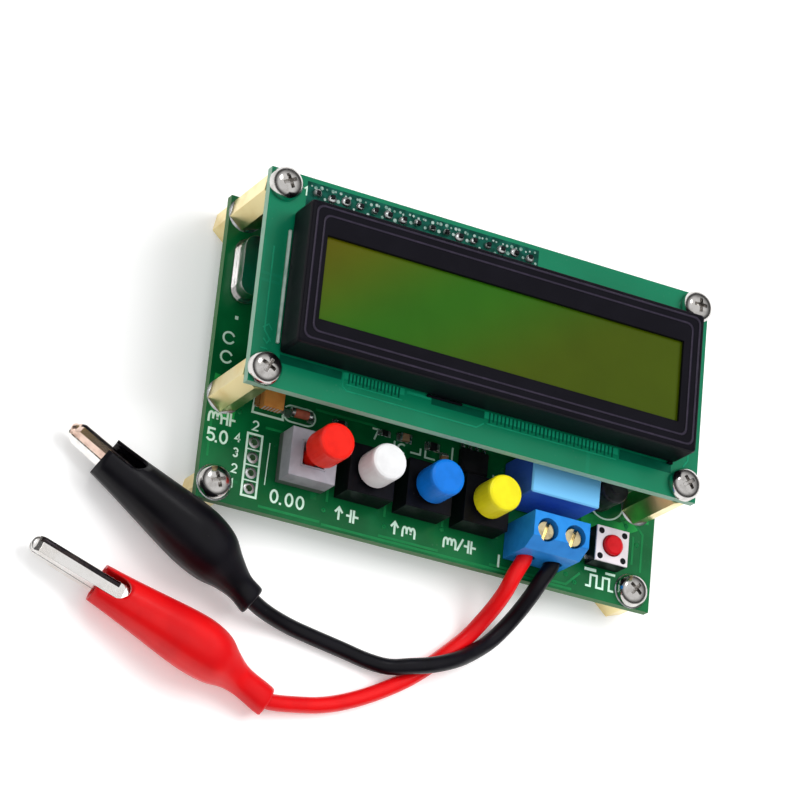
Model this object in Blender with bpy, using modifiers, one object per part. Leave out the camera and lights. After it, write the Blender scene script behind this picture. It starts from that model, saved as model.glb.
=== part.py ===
"""Bench meter for capacitors and inductors: an open two-board instrument with a
character display, four push switches and two clip leads.

Millimetres below are turned into metres by the helpers. The origin is on the
table under the middle of the main board, +X to the right along the row of
switches, +Y to the rear edge with the display header, +Z up.
"""
from math import cos, pi, radians, sin

import bmesh
import bpy
from mathutils import Matrix, Vector

MM = 0.001
SEAT_GAP = 0.1            # left between pieces that rest on each other

# Main board
BOARD_WIDTH = 81.4
BOARD_DEPTH = 51.0
BOARD_THICKNESS = 1.6
FOOT_LENGTH = 5.0
BOARD_TOP = FOOT_LENGTH + BOARD_THICKNESS
FRONT_HOLE_Y = -22.67

# Display module, on its own board above the main board
DISPLAY_X, DISPLAY_Y = -0.45, 7.2
DISPLAY_SIZE = (80.0, 36.0)
DISPLAY_HOLES = (75.0, 31.0)
DISPLAY_TOP = BOARD_TOP + 14.54
DISPLAY_BOTTOM = DISPLAY_TOP - BOARD_THICKNESS
BEZEL_X = (-35.5, 35.5)
BEZEL_Y = (-12.4, 11.4)
BEZEL_HEIGHT = 7.0
BEZEL_SHEET = 0.5
WINDOW_CENTRE = (-0.33, -1.11)
WINDOW_SIZE = (64.2, 13.9)
PIN_COUNT = 16
PIN_PITCH = 2.54
FIRST_PIN_X = -32.0
PIN_ROW_Y = 15.5

# Metric 3 hardware
HEX_FLATS = 5.0
HEX_TURN = 50.0           # degrees that a hexagon's corner is turned from +X
SHANK_RADIUS = 1.3
THREAD_BORE = 1.5
HOLE_RADIUS = 1.6
HEAD_RADIUS = 2.75
HEAD_HEIGHT = 2.0

# Push switches, left to right
SWITCH_Y = -16.05
SWITCH_FIRST_X = -23.8
SWITCH_PITCH = 10.28
SWITCH_SIZE = 8.0
SWITCH_HEIGHT = 5.0
SWITCH_WELL = 3.7
CAP_RADIUS = 3.0
CAP_LENGTH = 5.2
CAP_CLEAR_OUT = 3.3       # cap above its switch when it stands out
CAP_CLEAR_LATCHED = 0.9   # cap above its switch when it is latched in
STEM_LENGTH = 4.7
SWITCHES = (
    ("zero", "red", CAP_CLEAR_OUT, (0.50, 0.51, 0.54)),
    ("high_c", "white", CAP_CLEAR_LATCHED, (0.02, 0.02, 0.025)),
    ("high_l", "blue", CAP_CLEAR_LATCHED, (0.02, 0.02, 0.025)),
    ("mode", "yellow", CAP_CLEAR_LATCHED, (0.02, 0.02, 0.025)),
)
CAP_COLOURS = {
    "red": (0.93, 0.03, 0.01),
    "white": (0.92, 0.92, 0.90),
    "blue": (0.01, 0.22, 0.80),
    "yellow": (0.93, 0.86, 0.02),
}

# Screw terminal for the two leads
TERMINAL_X = 18.2
TERMINAL_BACK = -17.1
TERMINAL_WIDTH = 10.1
TERMINAL_DEPTH = 5.7
TERMINAL_HEIGHT = 10.0
POLE_PITCH = 5.0
POLE_Y = -19.85
WIRE_Z = BOARD_TOP + 3.0
CLAMP_SIZE = (3.4, 3.6, 4.6)
CLAMP_BOTTOM = BOARD_TOP + 1.1

# Leads and clips
LEAD_RADIUS = 1.3
JAW_PIVOT = 16.0          # from the tip
ARM_LENGTH = 10.5         # from the pivot to the end of the squeezed arms
JAW_WIDTH = 2.6           # moving jaw, which turns between the ears of the fixed one
EAR_WIDTH = 3.6           # over the ears of the fixed jaw
SHEET = 0.4
BOOT_WALL = 0.5

# Each clip lies on the table: tip and heading place it, lift and tilt (degrees) are its
# nose's height and slope, girth scales its sleeve, and the rest are distances from its tip.
CLIPS = {
    "black": {"tip": (-60.19, -18.71), "heading": -32.5, "lift": 2.85, "tilt": 7.5, "roll": -28.0,
              "mouth": 6.0, "tail": 35.0, "collar": 2.5, "notch": 6.0, "girth": 0.93},
    "red": {"tip": (-63.8, -38.0), "heading": -21.5, "lift": 2.6, "tilt": 5.9, "roll": 0.0,
            "mouth": 10.9, "tail": 38.3, "collar": 4.5, "notch": 4.1, "girth": 0.86},
}
LEADS = {
    "black": [
        (20.7, -22.1, 9.6), (20.5, -23.2, 9.55), (19.33, -25.6, 8.9), (18.74, -27.7, 7.2),
        (17.93, -30.2, 4.7), (16.64, -32.8, 2.5), (14.45, -35.5, 1.8), (10.75, -38.5, 2.7),
        (7.58, -40.5, 3.8), (3.7, -42.2, 4.2), (0.2, -43.1, 3.8), (-2.9, -43.5, 2.4),
        (-6.5, -43.3, 1.35), (-11.0, -42.4, 1.35), (-15.5, -41.3, 1.35), (-20.6, -40.6, 1.6),
        (-25.2, -40.4, 3.0),
    ],
    "red": [
        (15.7, -22.1, 9.6), (15.5, -23.2, 9.55), (14.32, -25.9, 9.0), (13.85, -28.2, 7.6),
        (13.22, -30.6, 5.2), (12.27, -32.8, 3.1), (10.73, -35.3, 1.7), (8.22, -38.0, 1.35),
        (4.26, -41.75, 1.35), (0.0, -45.2, 1.35), (-5.9, -48.8, 1.35), (-11.7, -51.4, 1.35),
        (-17.0, -52.8, 1.8),
    ],
}

MATERIALS = {}


def clear_scene():
    for obj in list(bpy.data.objects):
        bpy.data.objects.remove(obj, do_unlink=True)


def new_collection(name):
    collection = bpy.data.collections.new(name)
    bpy.context.scene.collection.children.link(collection)
    return collection


clear_scene()
parts = new_collection("component_meter")
cutters = new_collection("cutters")


def material(name, colour, roughness=0.5, metallic=0.0):
    """One Principled material, shared by every piece that names it."""
    if name not in MATERIALS:
        made = bpy.data.materials.new(name)
        made.use_nodes = True
        shader = made.node_tree.nodes["Principled BSDF"]
        shader.inputs["Base Color"].default_value = (*colour, 1.0)
        shader.inputs["Roughness"].default_value = roughness
        shader.inputs["Metallic"].default_value = metallic
        made.diffuse_color = (*colour, 1.0)
        MATERIALS[name] = made
    return MATERIALS[name]


def add_object(name, data, look=None, parent=None):
    """Puts a mesh or curve in the parts collection, or in the cutters when it has no look."""
    obj = bpy.data.objects.new(name, data)
    if look is None:
        cutters.objects.link(obj)
        obj.hide_render = True
        obj.display_type = "WIRE"
    else:
        parts.objects.link(obj)
        data.materials.append(look)
    obj.parent = parent
    return obj


def mesh_from(bm, name):
    mesh = bpy.data.meshes.new(name)
    bmesh.ops.recalc_face_normals(bm, faces=bm.faces)
    bm.to_mesh(mesh)
    bm.free()
    return mesh


def block(name, low, high, look=None, edge=0.0, parent=None):
    """A box between two corners, with its origin at its centre."""
    low, high = Vector(low) * MM, Vector(high) * MM
    bm = bmesh.new()
    bmesh.ops.create_cube(bm, size=1.0)
    bmesh.ops.scale(bm, vec=high - low, verts=bm.verts)
    obj = add_object(name, mesh_from(bm, name), look, parent)
    obj.location = (low + high) / 2
    if edge:
        bevel = obj.modifiers.new("rounded edges", "BEVEL")
        bevel.width = edge * MM
        bevel.segments = 2
    return obj


def rod(name, centre, radius, z_range, look=None, sides=24, turn=0.0, parent=None):
    """An upright cylinder, or a hexagon with six sides."""
    low, high = z_range
    bm = bmesh.new()
    bmesh.ops.create_cone(
        bm, cap_ends=True, segments=sides, radius1=radius * MM, radius2=radius * MM,
        depth=(high - low) * MM,
    )
    mesh = mesh_from(bm, name)
    if sides > 8:
        smooth_sides(mesh)
    obj = add_object(name, mesh, look, parent)
    obj.location = Vector((centre[0], centre[1], (low + high) / 2)) * MM
    obj.rotation_euler = (0, 0, radians(turn))
    return obj


def smooth_sides(mesh):
    mesh.shade_smooth()
    mesh.set_sharp_from_angle(angle=radians(35))


def drill(target, name, centres, radius, z_range, sides=20):
    """Cuts a group of upright holes."""
    low, high = z_range
    bm = bmesh.new()
    for x, y in centres:
        place = Matrix.Translation(Vector((x, y, (low + high) / 2)) * MM)
        bmesh.ops.create_cone(
            bm, cap_ends=True, segments=sides, radius1=radius * MM, radius2=radius * MM,
            depth=(high - low) * MM, matrix=place,
        )
    cut(target, add_object(name, mesh_from(bm, name), parent=target.parent))


def cut(target, cutter):
    boolean = target.modifiers.new(cutter.name, "BOOLEAN")
    boolean.operation = "DIFFERENCE"
    boolean.solver = "EXACT"
    boolean.object = cutter


def join(target, piece):
    """Makes a helper piece one body with the target."""
    boolean = target.modifiers.new(piece.name, "BOOLEAN")
    boolean.operation = "UNION"
    boolean.solver = "EXACT"
    boolean.object = piece


def turned(name, centre, profile, look=None, sides=24, parent=None):
    """A shape turned about Z from a profile of (radius, height), listed from the top down."""
    mesh = bpy.data.meshes.new(name)
    points = [(radius * MM, 0.0, height * MM) for radius, height in profile]
    mesh.from_pydata(points, [(i, i + 1) for i in range(len(points) - 1)], [])
    obj = add_object(name, mesh, look, parent)
    screw = obj.modifiers.new("turn", "SCREW")
    screw.steps = screw.render_steps = sides
    screw.use_merge_vertices = True
    screw.merge_threshold = 0.00001
    screw.use_smooth_shade = True
    obj.location = Vector(centre) * MM
    return obj


def solid_from_curve(curve_obj, look, parent):
    """The closed mesh of a curve object, which it replaces."""
    bpy.context.view_layer.update()
    graph = bpy.context.evaluated_depsgraph_get()
    mesh = bpy.data.meshes.new_from_object(curve_obj.evaluated_get(graph))
    name, place = curve_obj.name, curve_obj.matrix_world.copy()
    bpy.data.objects.remove(curve_obj, do_unlink=True)
    bm = bmesh.new()
    bm.from_mesh(mesh)
    bmesh.ops.remove_doubles(bm, verts=bm.verts, dist=0.000001)
    bpy.data.meshes.remove(mesh)
    mesh = mesh_from(bm, name)
    obj = add_object(name, mesh, look, parent)
    obj.matrix_world = place
    return obj


def prism(name, outline, width, centre, rotation, look=None, parent=None):
    """A flat outline (millimetres) given a thickness and stood up by its rotation."""
    curve = bpy.data.curves.new(name, "CURVE")
    curve.dimensions = "2D"
    curve.fill_mode = "BOTH"
    curve.extrude = width * MM / 2
    spline = curve.splines.new("POLY")
    spline.points.add(len(outline) - 1)
    for point, (x, y) in zip(spline.points, outline):
        point.co = (x * MM, y * MM, 0.0, 1.0)
    spline.use_cyclic_u = True
    obj = bpy.data.objects.new(name, curve)
    bpy.context.scene.collection.objects.link(obj)
    obj.parent = parent
    obj.location = Vector(centre) * MM
    obj.rotation_euler = [radians(angle) for angle in rotation]
    return solid_from_curve(obj, look, parent)


def smooth_route(route, spacing):
    """Points about one spacing apart on a smooth curve through the route's points."""
    route = [Vector(point) for point in route]
    ends = [2 * route[0] - route[1], *route, 2 * route[-1] - route[-2]]
    points = []
    for before, start, end, after in zip(ends, ends[1:], ends[2:], ends[3:]):
        steps = max(1, round((end - start).length / spacing))
        for step in range(steps):
            t = step / steps
            points.append(
                0.5 * (2 * start + (end - before) * t
                       + (2 * before - 5 * start + 4 * end - after) * t ** 2
                       + (3 * start - before - 3 * end + after) * t ** 3)
            )
    return [*points, route[-1]]


def tube(name, points, radius, look, parent=None, resolution=2):
    """A round wire along points in millimetres."""
    curve = bpy.data.curves.new(name, "CURVE")
    curve.dimensions = "3D"
    curve.bevel_depth = radius * MM
    curve.bevel_resolution = resolution
    curve.use_fill_caps = True
    spline = curve.splines.new("POLY")
    spline.points.add(len(points) - 1)
    for point, place in zip(spline.points, points):
        point.co = (*(Vector(place) * MM), 1.0)
    return add_object(name, curve, look, parent)


# Finishes
mask_green = material("main board green", (0.006, 0.17, 0.05), 0.35)
mask_teal = material("display board green", (0.003, 0.24, 0.11), 0.35)
brass = material("brass", (0.83, 0.66, 0.28), 0.3, 1.0)
nickel = material("nickel", (0.66, 0.65, 0.63), 0.25, 1.0)
tin_plate = material("tin plate", (0.75, 0.74, 0.72), 0.22, 1.0)
black_plastic = material("black plastic", (0.02, 0.02, 0.025), 0.45)
black_steel = material("black steel", (0.012, 0.012, 0.018), 0.4)
rubber_grey = material("conductive rubber", (0.05, 0.05, 0.05), 0.8)
milky = material("light guide", (0.75, 0.85, 0.70), 0.4)
display_film = material("display glass", (0.06, 0.12, 0.01), 0.15)
relay_blue = material("relay blue", (0.16, 0.50, 0.90), 0.4)
terminal_blue = material("terminal blue", (0.02, 0.24, 0.78), 0.4)
tantalum_orange = material("capacitor orange", (0.80, 0.38, 0.12), 0.5)
glass_red = material("diode glass", (0.55, 0.18, 0.12), 0.1)
red_vinyl = material("red vinyl", (0.82, 0.01, 0.01), 0.3)
black_vinyl = material("black vinyl", (0.012, 0.012, 0.016), 0.3)
plunger_red = material("plunger red", (0.55, 0.005, 0.01), 0.35)

display_holes = [
    (DISPLAY_X + side * DISPLAY_HOLES[0] / 2, DISPLAY_Y + end * DISPLAY_HOLES[1] / 2)
    for end in (1, -1) for side in (-1, 1)
]
front_holes = [(x, FRONT_HOLE_Y) for x, _ in display_holes[:2]]
pin_places = [
    (DISPLAY_X + FIRST_PIN_X + PIN_PITCH * i, DISPLAY_Y + PIN_ROW_Y) for i in range(PIN_COUNT)
]


def make_main_board():
    board = block(
        "main_board", (-BOARD_WIDTH / 2, -BOARD_DEPTH / 2, FOOT_LENGTH + SEAT_GAP),
        (BOARD_WIDTH / 2, BOARD_DEPTH / 2, BOARD_TOP), mask_green,
    )
    through = (FOOT_LENGTH - 1, BOARD_TOP + 1)
    drill(board, "board screw holes", display_holes + front_holes, HOLE_RADIUS, through)
    service_pads = [(-31.95, -14.5 - PIN_PITCH * i) for i in range(4)]
    drill(board, "service header holes", service_pads, 0.5, through, sides=8)


def make_display():
    x, y, top = DISPLAY_X, DISPLAY_Y, DISPLAY_TOP
    width, depth = DISPLAY_SIZE
    board = block(
        "display_board", (x - width / 2, y - depth / 2, DISPLAY_BOTTOM + SEAT_GAP),
        (x + width / 2, y + depth / 2, top), mask_teal,
    )
    through = (DISPLAY_BOTTOM - 1, top + 1)
    drill(board, "display screw holes", display_holes, HOLE_RADIUS, through)
    drill(board, "display pin holes", pin_places, 0.5, through, sides=8)
    make_bezel(x, y, top + SEAT_GAP)
    make_display_stack(x, y, top + SEAT_GAP)


def make_bezel(x, y, base):
    """Folded steel frame, open below, with the window in its top."""
    (left, right), (front, back) = BEZEL_X, BEZEL_Y
    top = DISPLAY_TOP + BEZEL_HEIGHT
    bezel = block(
        "display_bezel", (x + left, y + front, base), (x + right, y + back, top), black_steel,
        edge=0.6,
    )
    sheet = BEZEL_SHEET
    cut(bezel, block("bezel inside", (x + left + sheet, y + front + sheet, base - 1),
                     (x + right - sheet, y + back - sheet, top - sheet)))
    (window_x, window_y), (window_w, window_d) = WINDOW_CENTRE, WINDOW_SIZE
    cut(bezel, block("bezel window",
                     (x + window_x - window_w / 2, y + window_y - window_d / 2, top - 2),
                     (x + window_x + window_w / 2, y + window_y + window_d / 2, top + 1)))
    cut(bezel, block("bezel lamp slot", (x + left - 1, y - 10.3, base - 1),
                     (x + left + 1, y + 7.6, base + 0.6)))


def make_display_stack(x, y, base):
    """Light guide, two contact strips and the liquid crystal glass, inside the bezel."""
    left, right = BEZEL_X[0] + BEZEL_SHEET + 0.2, BEZEL_X[1] - BEZEL_SHEET - 0.2
    glass_low, glass_high = base + 4.1, DISPLAY_TOP + BEZEL_HEIGHT - BEZEL_SHEET - SEAT_GAP
    block("light_guide", (x + left, y - 10.2, base), (x + right, y + 7.5, glass_low - SEAT_GAP), milky)
    block("contact_strip_front", (x + left + 1, y - 11.7, base),
          (x + right - 1, y - 10.5, glass_low - SEAT_GAP), rubber_grey)
    block("contact_strip_rear", (x + left + 1, y + 7.9, base),
          (x + right - 1, y + 10.4, glass_low - SEAT_GAP), rubber_grey)
    block("display_glass", (x + left + 0.4, y - 11.7, glass_low), (x + right - 0.4, y + 10.6, glass_high),
          display_film)


def make_display_header():
    """The row of pins under the display board, and the socket it plugs into."""
    first_x, row_y = pin_places[0]
    last_x = pin_places[-1][0]
    strip_low = DISPLAY_BOTTOM - 2.5
    strip = block(
        "display_pin_header", (first_x - 1.27, row_y - 1.27, strip_low),
        (last_x + 1.27, row_y + 1.27, DISPLAY_BOTTOM - SEAT_GAP), black_plastic,
    )
    bm = bmesh.new()
    pin_low, pin_high = strip_low - 5.6, DISPLAY_TOP + 0.9
    for x, y in pin_places:
        place = Matrix.Translation(Vector((x, y, (pin_low + pin_high) / 2)) * MM)
        size = Matrix.Diagonal((0.6 * MM, 0.6 * MM, (pin_high - pin_low) * MM, 1.0))
        bmesh.ops.create_cube(bm, size=1.0, matrix=place @ size)
    join(strip, add_object("header pins", mesh_from(bm, "header pins")))
    socket_high = strip_low - SEAT_GAP
    socket = block(
        "header_socket", (first_x - 1.27, row_y - 1.27, BOARD_TOP + SEAT_GAP),
        (last_x + 1.27, row_y + 1.27, socket_high), black_plastic,
    )
    cut(socket, block("socket slot", (first_x - 0.5, row_y - 0.5, pin_low - 0.6),
                      (last_x + 0.5, row_y + 0.5, socket_high + 1)))


def make_hardware():
    """Spacers, feet and screws of the two boards."""
    corner = HEX_FLATS / 2 / cos(pi / 6)
    hexagon = {"look": brass, "sides": 6, "turn": HEX_TURN}
    names = ("rear_left", "rear_right", "middle_left", "middle_right")
    for place, name in zip(display_holes, names):
        spacer = rod(f"spacer_{name}", place, corner, (BOARD_TOP + SEAT_GAP, DISPLAY_BOTTOM), **hexagon)
        drill(spacer, f"spacer bore {name}", [place], THREAD_BORE,
              (BOARD_TOP - 1, DISPLAY_BOTTOM + 1), sides=16)
        make_pan_screw(f"display_screw_{name}", place, DISPLAY_TOP + SEAT_GAP, 5.6)
    for place, name in zip(display_holes[:2], names):
        foot = rod(f"foot_{name}", place, corner, (0, FOOT_LENGTH), **hexagon)
        join(foot, rod(f"foot stud {name}", place, SHANK_RADIUS, (FOOT_LENGTH - 1, BOARD_TOP + 5), sides=16))
    for place, name in zip(front_holes, ("front_left", "front_right")):
        foot = rod(f"foot_{name}", place, corner, (0, FOOT_LENGTH), **hexagon)
        drill(foot, f"foot bore {name}", [place], THREAD_BORE, (-1, FOOT_LENGTH + 1), sides=16)
        make_pan_screw(f"board_screw_{name}", place, BOARD_TOP + SEAT_GAP, 5.5)
    for place, name in zip(display_holes[2:], names[2:]):
        make_pan_screw(f"under_screw_{name}", place, FOOT_LENGTH, 5.0, upside_down=True)


def make_pan_screw(name, centre, seat, shank, upside_down=False):
    """Pan head screw with a crossed recess; its head sits at the seat height."""
    profile = [
        (0.0, HEAD_HEIGHT), (1.1, HEAD_HEIGHT - 0.08), (2.0, HEAD_HEIGHT - 0.4),
        (2.6, HEAD_HEIGHT - 1.1), (HEAD_RADIUS, 0.35), (HEAD_RADIUS, 0.0),
        (SHANK_RADIUS, 0.0), (SHANK_RADIUS, -shank), (0.0, -shank),
    ]
    screw = turned(name, (*centre, seat), profile, nickel, sides=20)
    for turn in (0, 90):
        slot = block(f"recess {turn} {name}", (-1.55, -0.35, HEAD_HEIGHT - 1.1), (1.55, 0.35, HEAD_HEIGHT + 1))
        slot.rotation_euler = (0, 0, radians(turn + HEX_TURN))
        slot.location += Vector((*centre, seat)) * MM
        if upside_down:
            slot.location.z = (2 * seat * MM) - slot.location.z
        cut(screw, slot)
    if upside_down:
        screw.rotation_euler = (pi, 0, 0)


def make_switches():
    base = BOARD_TOP + SEAT_GAP
    top = BOARD_TOP + SWITCH_HEIGHT
    half, well = SWITCH_SIZE / 2, SWITCH_WELL / 2
    for index, (name, colour, clear, body_colour) in enumerate(SWITCHES):
        x = SWITCH_FIRST_X + SWITCH_PITCH * index
        body_look = material(f"{name} switch body", body_colour, 0.45)
        body = block(f"{name}_switch_body", (x - half, SWITCH_Y - half, base),
                     (x + half, SWITCH_Y + half, top), body_look)
        cut(body, block(f"{name} well", (x - well, SWITCH_Y - well, base + 0.5),
                        (x + well, SWITCH_Y + well, top + 1)))
        profile = [
            (0.0, CAP_LENGTH), (CAP_RADIUS - 0.55, CAP_LENGTH), (CAP_RADIUS - 0.16, CAP_LENGTH - 0.16),
            (CAP_RADIUS, CAP_LENGTH - 0.55), (CAP_RADIUS, 0.0), (1.45, 0.0), (1.45, -STEM_LENGTH), (0.0, -STEM_LENGTH),
        ]
        cap_look = material(f"{colour} cap", CAP_COLOURS[colour], 0.35)
        turned(f"{name}_button", (x, SWITCH_Y, top + clear), profile, cap_look, sides=28)


def make_tact_switch():
    """Small switch with a steel cover and a round plunger."""
    x, y, half, base = 31.15, -17.15, 3.0, BOARD_TOP + SEAT_GAP
    body = block("function_switch_body", (x - half, y - half, base), (x + half, y + half, base + 3.0),
                 black_plastic)
    drill(body, "plunger well", [(x, y)], 2.1, (base + 1.2, base + 4), sides=24)
    cover = block("function_switch_cover", (x - half, y - half, base + 3.1), (x + half, y + half, base + 3.4),
                  tin_plate)
    drill(cover, "cover hole", [(x, y)], 1.85, (base + 2, base + 5), sides=24)
    profile = [(0.0, 4.2), (1.4, 4.2), (1.7, 3.95), (1.7, 2.8), (2.0, 2.8), (2.0, 1.6), (0.0, 1.6)]
    turned("function_button", (x, y, base), profile, plunger_red, sides=24)


def make_terminal():
    """Two-pole rising clamp terminal."""
    back, front = TERMINAL_BACK, TERMINAL_BACK - TERMINAL_DEPTH
    base, top = BOARD_TOP + SEAT_GAP, BOARD_TOP + TERMINAL_HEIGHT
    outline = [(back, base), (front, base), (front, top - 2.7), (front + 1.5, top), (back, top)]
    housing = prism("terminal_housing", outline, TERMINAL_WIDTH, (TERMINAL_X, 0, 0), (90, 0, 90), terminal_blue)
    web_low, web_high = BOARD_TOP + 6.0, BOARD_TOP + 7.2
    for side, name in ((-1, "left"), (1, "right")):
        x = TERMINAL_X + side * POLE_PITCH / 2
        cut(housing, block(f"{name} clamp room", (x - 1.95, POLE_Y - 2.05, base - 1),
                           (x + 1.95, POLE_Y + 2.05, web_low)))
        drill(housing, f"{name} shank hole", [(x, POLE_Y)], 1.15, (web_low - 1, web_high + 1), sides=16)
        drill(housing, f"{name} head hole", [(x, POLE_Y)], 1.85, (web_high, top + 1), sides=24)
        entry = rod(f"{name} wire entry", (x, front), 1.55, (-1.5, 1.5), sides=20)
        entry.location.z = WIRE_Z * MM
        entry.rotation_euler = (pi / 2, 0, 0)
        cut(housing, entry)
        make_terminal_screw(name, x, web_high + SEAT_GAP)
        make_clamp(name, x)


def make_terminal_screw(name, x, seat):
    profile = [(0.0, 1.9), (1.45, 1.9), (1.6, 1.75), (1.6, 0.0), (0.9, 0.0), (0.9, -2.9), (0.0, -2.9)]
    screw = turned(f"terminal_screw_{name}", (x, POLE_Y, seat), profile, nickel, sides=20)
    slot = block(f"slot {name}", (-2, -0.3, 1.1), (2, 0.3, 3))
    slot.rotation_euler = (0, 0, radians(75))
    slot.location += Vector((x, POLE_Y, seat)) * MM
    cut(screw, slot)


def make_clamp(name, x):
    """The cage that the screw draws up under the wire."""
    width, depth, height = CLAMP_SIZE
    low = CLAMP_BOTTOM
    clamp = block(f"terminal_clamp_{name}", (x - width / 2, POLE_Y - depth / 2, low),
                  (x + width / 2, POLE_Y + depth / 2, low + height), tin_plate)
    cut(clamp, block(f"{name} clamp window", (x - 1.15, POLE_Y - 3, low + 0.7),
                     (x + 1.15, POLE_Y + 3, low + 3.1)))
    drill(clamp, f"{name} clamp thread", [(x, POLE_Y)], 1.05, (low + 2, low + height + 1), sides=16)


def make_board_parts():
    """What is soldered to the main board."""
    base = BOARD_TOP + SEAT_GAP
    relay = block("relay", (12.15, -14.2, base), (24.65, -6.7, base + 9.9), relay_blue, edge=0.25)
    relay.modifiers[0].segments = 1
    make_crystal(-36.9, 13.05, base)
    turned("coil_inductor", (29.75, -8.2, base),
           [(0.0, 6.0), (1.0, 6.0), (1.0, 5.6), (2.3, 5.6), (2.5, 5.4), (2.5, 0.0), (0.0, 0.0)],
           black_plastic, sides=20)
    block("tantalum_capacitor", (-31.9, -8.8, base), (-28.4, -6.0, base + 1.9), tantalum_orange, edge=0.15)
    diode = rod("clamp_diode", (0, 0), 0.75, (-1.75, 1.75), glass_red, sides=16)
    diode.location = Vector((-24.95, -8.2, base + 0.75)) * MM
    diode.rotation_euler = (0, pi / 2, 0)
    block("microcontroller", (-11.5, 4.0, base), (0.5, 11.5, base + 2.3), black_plastic, edge=0.2)
    make_usb_socket(20.0, BOARD_DEPTH / 2, base)


def make_crystal(x, y, base):
    """Low metal can with rounded ends on a flange."""
    def oval(length, width):
        radius = width / 2
        straight = length / 2 - radius
        ends = [(radians(180 * step / 8), straight) for step in range(9)]
        upper = [(radius * cos(a), end + radius * sin(a)) for a, end in ends]
        return upper + [(-px, -py) for px, py in upper]

    crystal = prism("crystal", oval(10.2, 3.8), 3.4, (x, y, base + 1.8), (0, 0, 0), tin_plate)
    flange = prism("crystal flange", oval(11.1, 4.65), 0.5, (x, y, base + 0.25), (0, 0, 0))
    join(crystal, flange)


def make_usb_socket(x, back, base):
    """Power and data socket, open to the rear."""
    width, depth, height = 7.7, 9.0, 3.9
    shell = block("usb_socket", (x - width / 2, back - depth, base), (x + width / 2, back, base + height), tin_plate)
    cut(shell, block("usb mouth", (x - width / 2 + 0.4, back - 6.5, base + 0.4),
                     (x + width / 2 - 0.4, back + 1, base + height - 0.4)))


def clip_frame(name, place, turn, parent=None):
    """Empty whose local +X runs back along a clip from its tip, with the opening side at +Z."""
    frame = bpy.data.objects.new(name, None)
    parts.objects.link(frame)
    frame.parent = parent
    frame.location = Vector(place) * MM
    frame.rotation_euler = [radians(angle) for angle in turn]
    return frame


def jaw_outline(side):
    """Side view of one jaw: nose, ear around the pivot, squeezed arm."""
    arm_end = JAW_PIVOT + ARM_LENGTH
    outline = [
        (0.0, 0.1), (0.0, 0.8), (0.8, 1.3), (JAW_PIVOT - 4, 1.6), (JAW_PIVOT - 1, 1.8),
        (arm_end, 3.3), (arm_end, 2.7), (JAW_PIVOT + 2.4, 1.3), (JAW_PIVOT + 1.05, -1.05),
        (JAW_PIVOT - 1.05, -1.05), (JAW_PIVOT - 2.0, 0.1),
    ]
    return [(x, side * z) for x, z in outline]


def hollow_jaw(jaw, side, inner, start, stop, frame):
    """Takes the inside out of the folded sheet between two distances from the tip."""
    ceiling = ((0.0, 0.8), (JAW_PIVOT - 4, 1.2), (JAW_PIVOT - 1, 1.4), (JAW_PIVOT + ARM_LENGTH + 2, 3.18))

    def height(x):
        for (x0, z0), (x1, z1) in zip(ceiling, ceiling[1:]):
            if x <= x1:
                return z0 + (z1 - z0) * (x - x0) / (x1 - x0)
        return ceiling[-1][1]

    inside = [x for x, _ in ceiling if start < x < stop]
    outline = [(start, -2.0), *((x, height(x)) for x in (start, *inside, stop)), (stop, -2.0)]
    name = f"{jaw.name} hollow {start:.0f}"
    cut(jaw, prism(name, [(x, side * z) for x, z in outline], 2 * inner, (0, 0, 0), (90, 0, 0), None, frame))


def make_jaw(name, side, width, frame):
    jaw = prism(name, jaw_outline(side), width, (0, 0, 0), (90, 0, 0), tin_plate, frame)
    nose_end = JAW_PIVOT - 2.8
    nose_inner = JAW_WIDTH / 2 - SHEET
    arm_stop = JAW_PIVOT + ARM_LENGTH + 1
    if width > JAW_WIDTH:
        hollow_jaw(jaw, side, nose_inner, 0.6, nose_end, frame)
        hollow_jaw(jaw, side, width / 2 - SHEET, nose_end + 0.4, arm_stop, frame)
        for end in (-1, 1):
            cut(jaw, block(f"{name} nose side {end}", (-1, end * 1.5 * JAW_WIDTH - JAW_WIDTH, -5),
                           (nose_end, end * 1.5 * JAW_WIDTH + JAW_WIDTH, 5), parent=frame))
    else:
        hollow_jaw(jaw, side, nose_inner, 0.6, arm_stop, frame)
    bore = rod(f"{name} bore", (JAW_PIVOT, 0), 0.75, (-4, 4), sides=16, parent=frame)
    bore.location = Vector((JAW_PIVOT, 0, 0)) * MM
    bore.rotation_euler = (pi / 2, 0, 0)
    cut(jaw, bore)
    return jaw


def boot_centre(mouth, tail, collar, girth):
    """Sections of the sleeve from mouth to cord end: distance, half width, half height, drop."""
    shape = (
        (0.0, 3.6, 3.5, 0.0), (0.15, 3.95, 3.95, 0.0), (0.35, 4.5, 4.9, 0.0), (0.55, 5.1, 5.75, 0.0),
        (0.68, 5.2, 5.95, -0.1), (0.8, 4.7, 5.2, -0.55), (0.9, 3.4, 3.7, -1.5), (1.0, 2.5, 2.6, -2.7),
    )
    rows = [(mouth + (tail - mouth) * t, max(2.35, wide * girth), max(2.4, high * girth), drop)
            for t, wide, high, drop in shape]
    rows.append((tail + collar, 2.4, 2.4, -2.7 - 0.33 * collar))
    return rows


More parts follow.
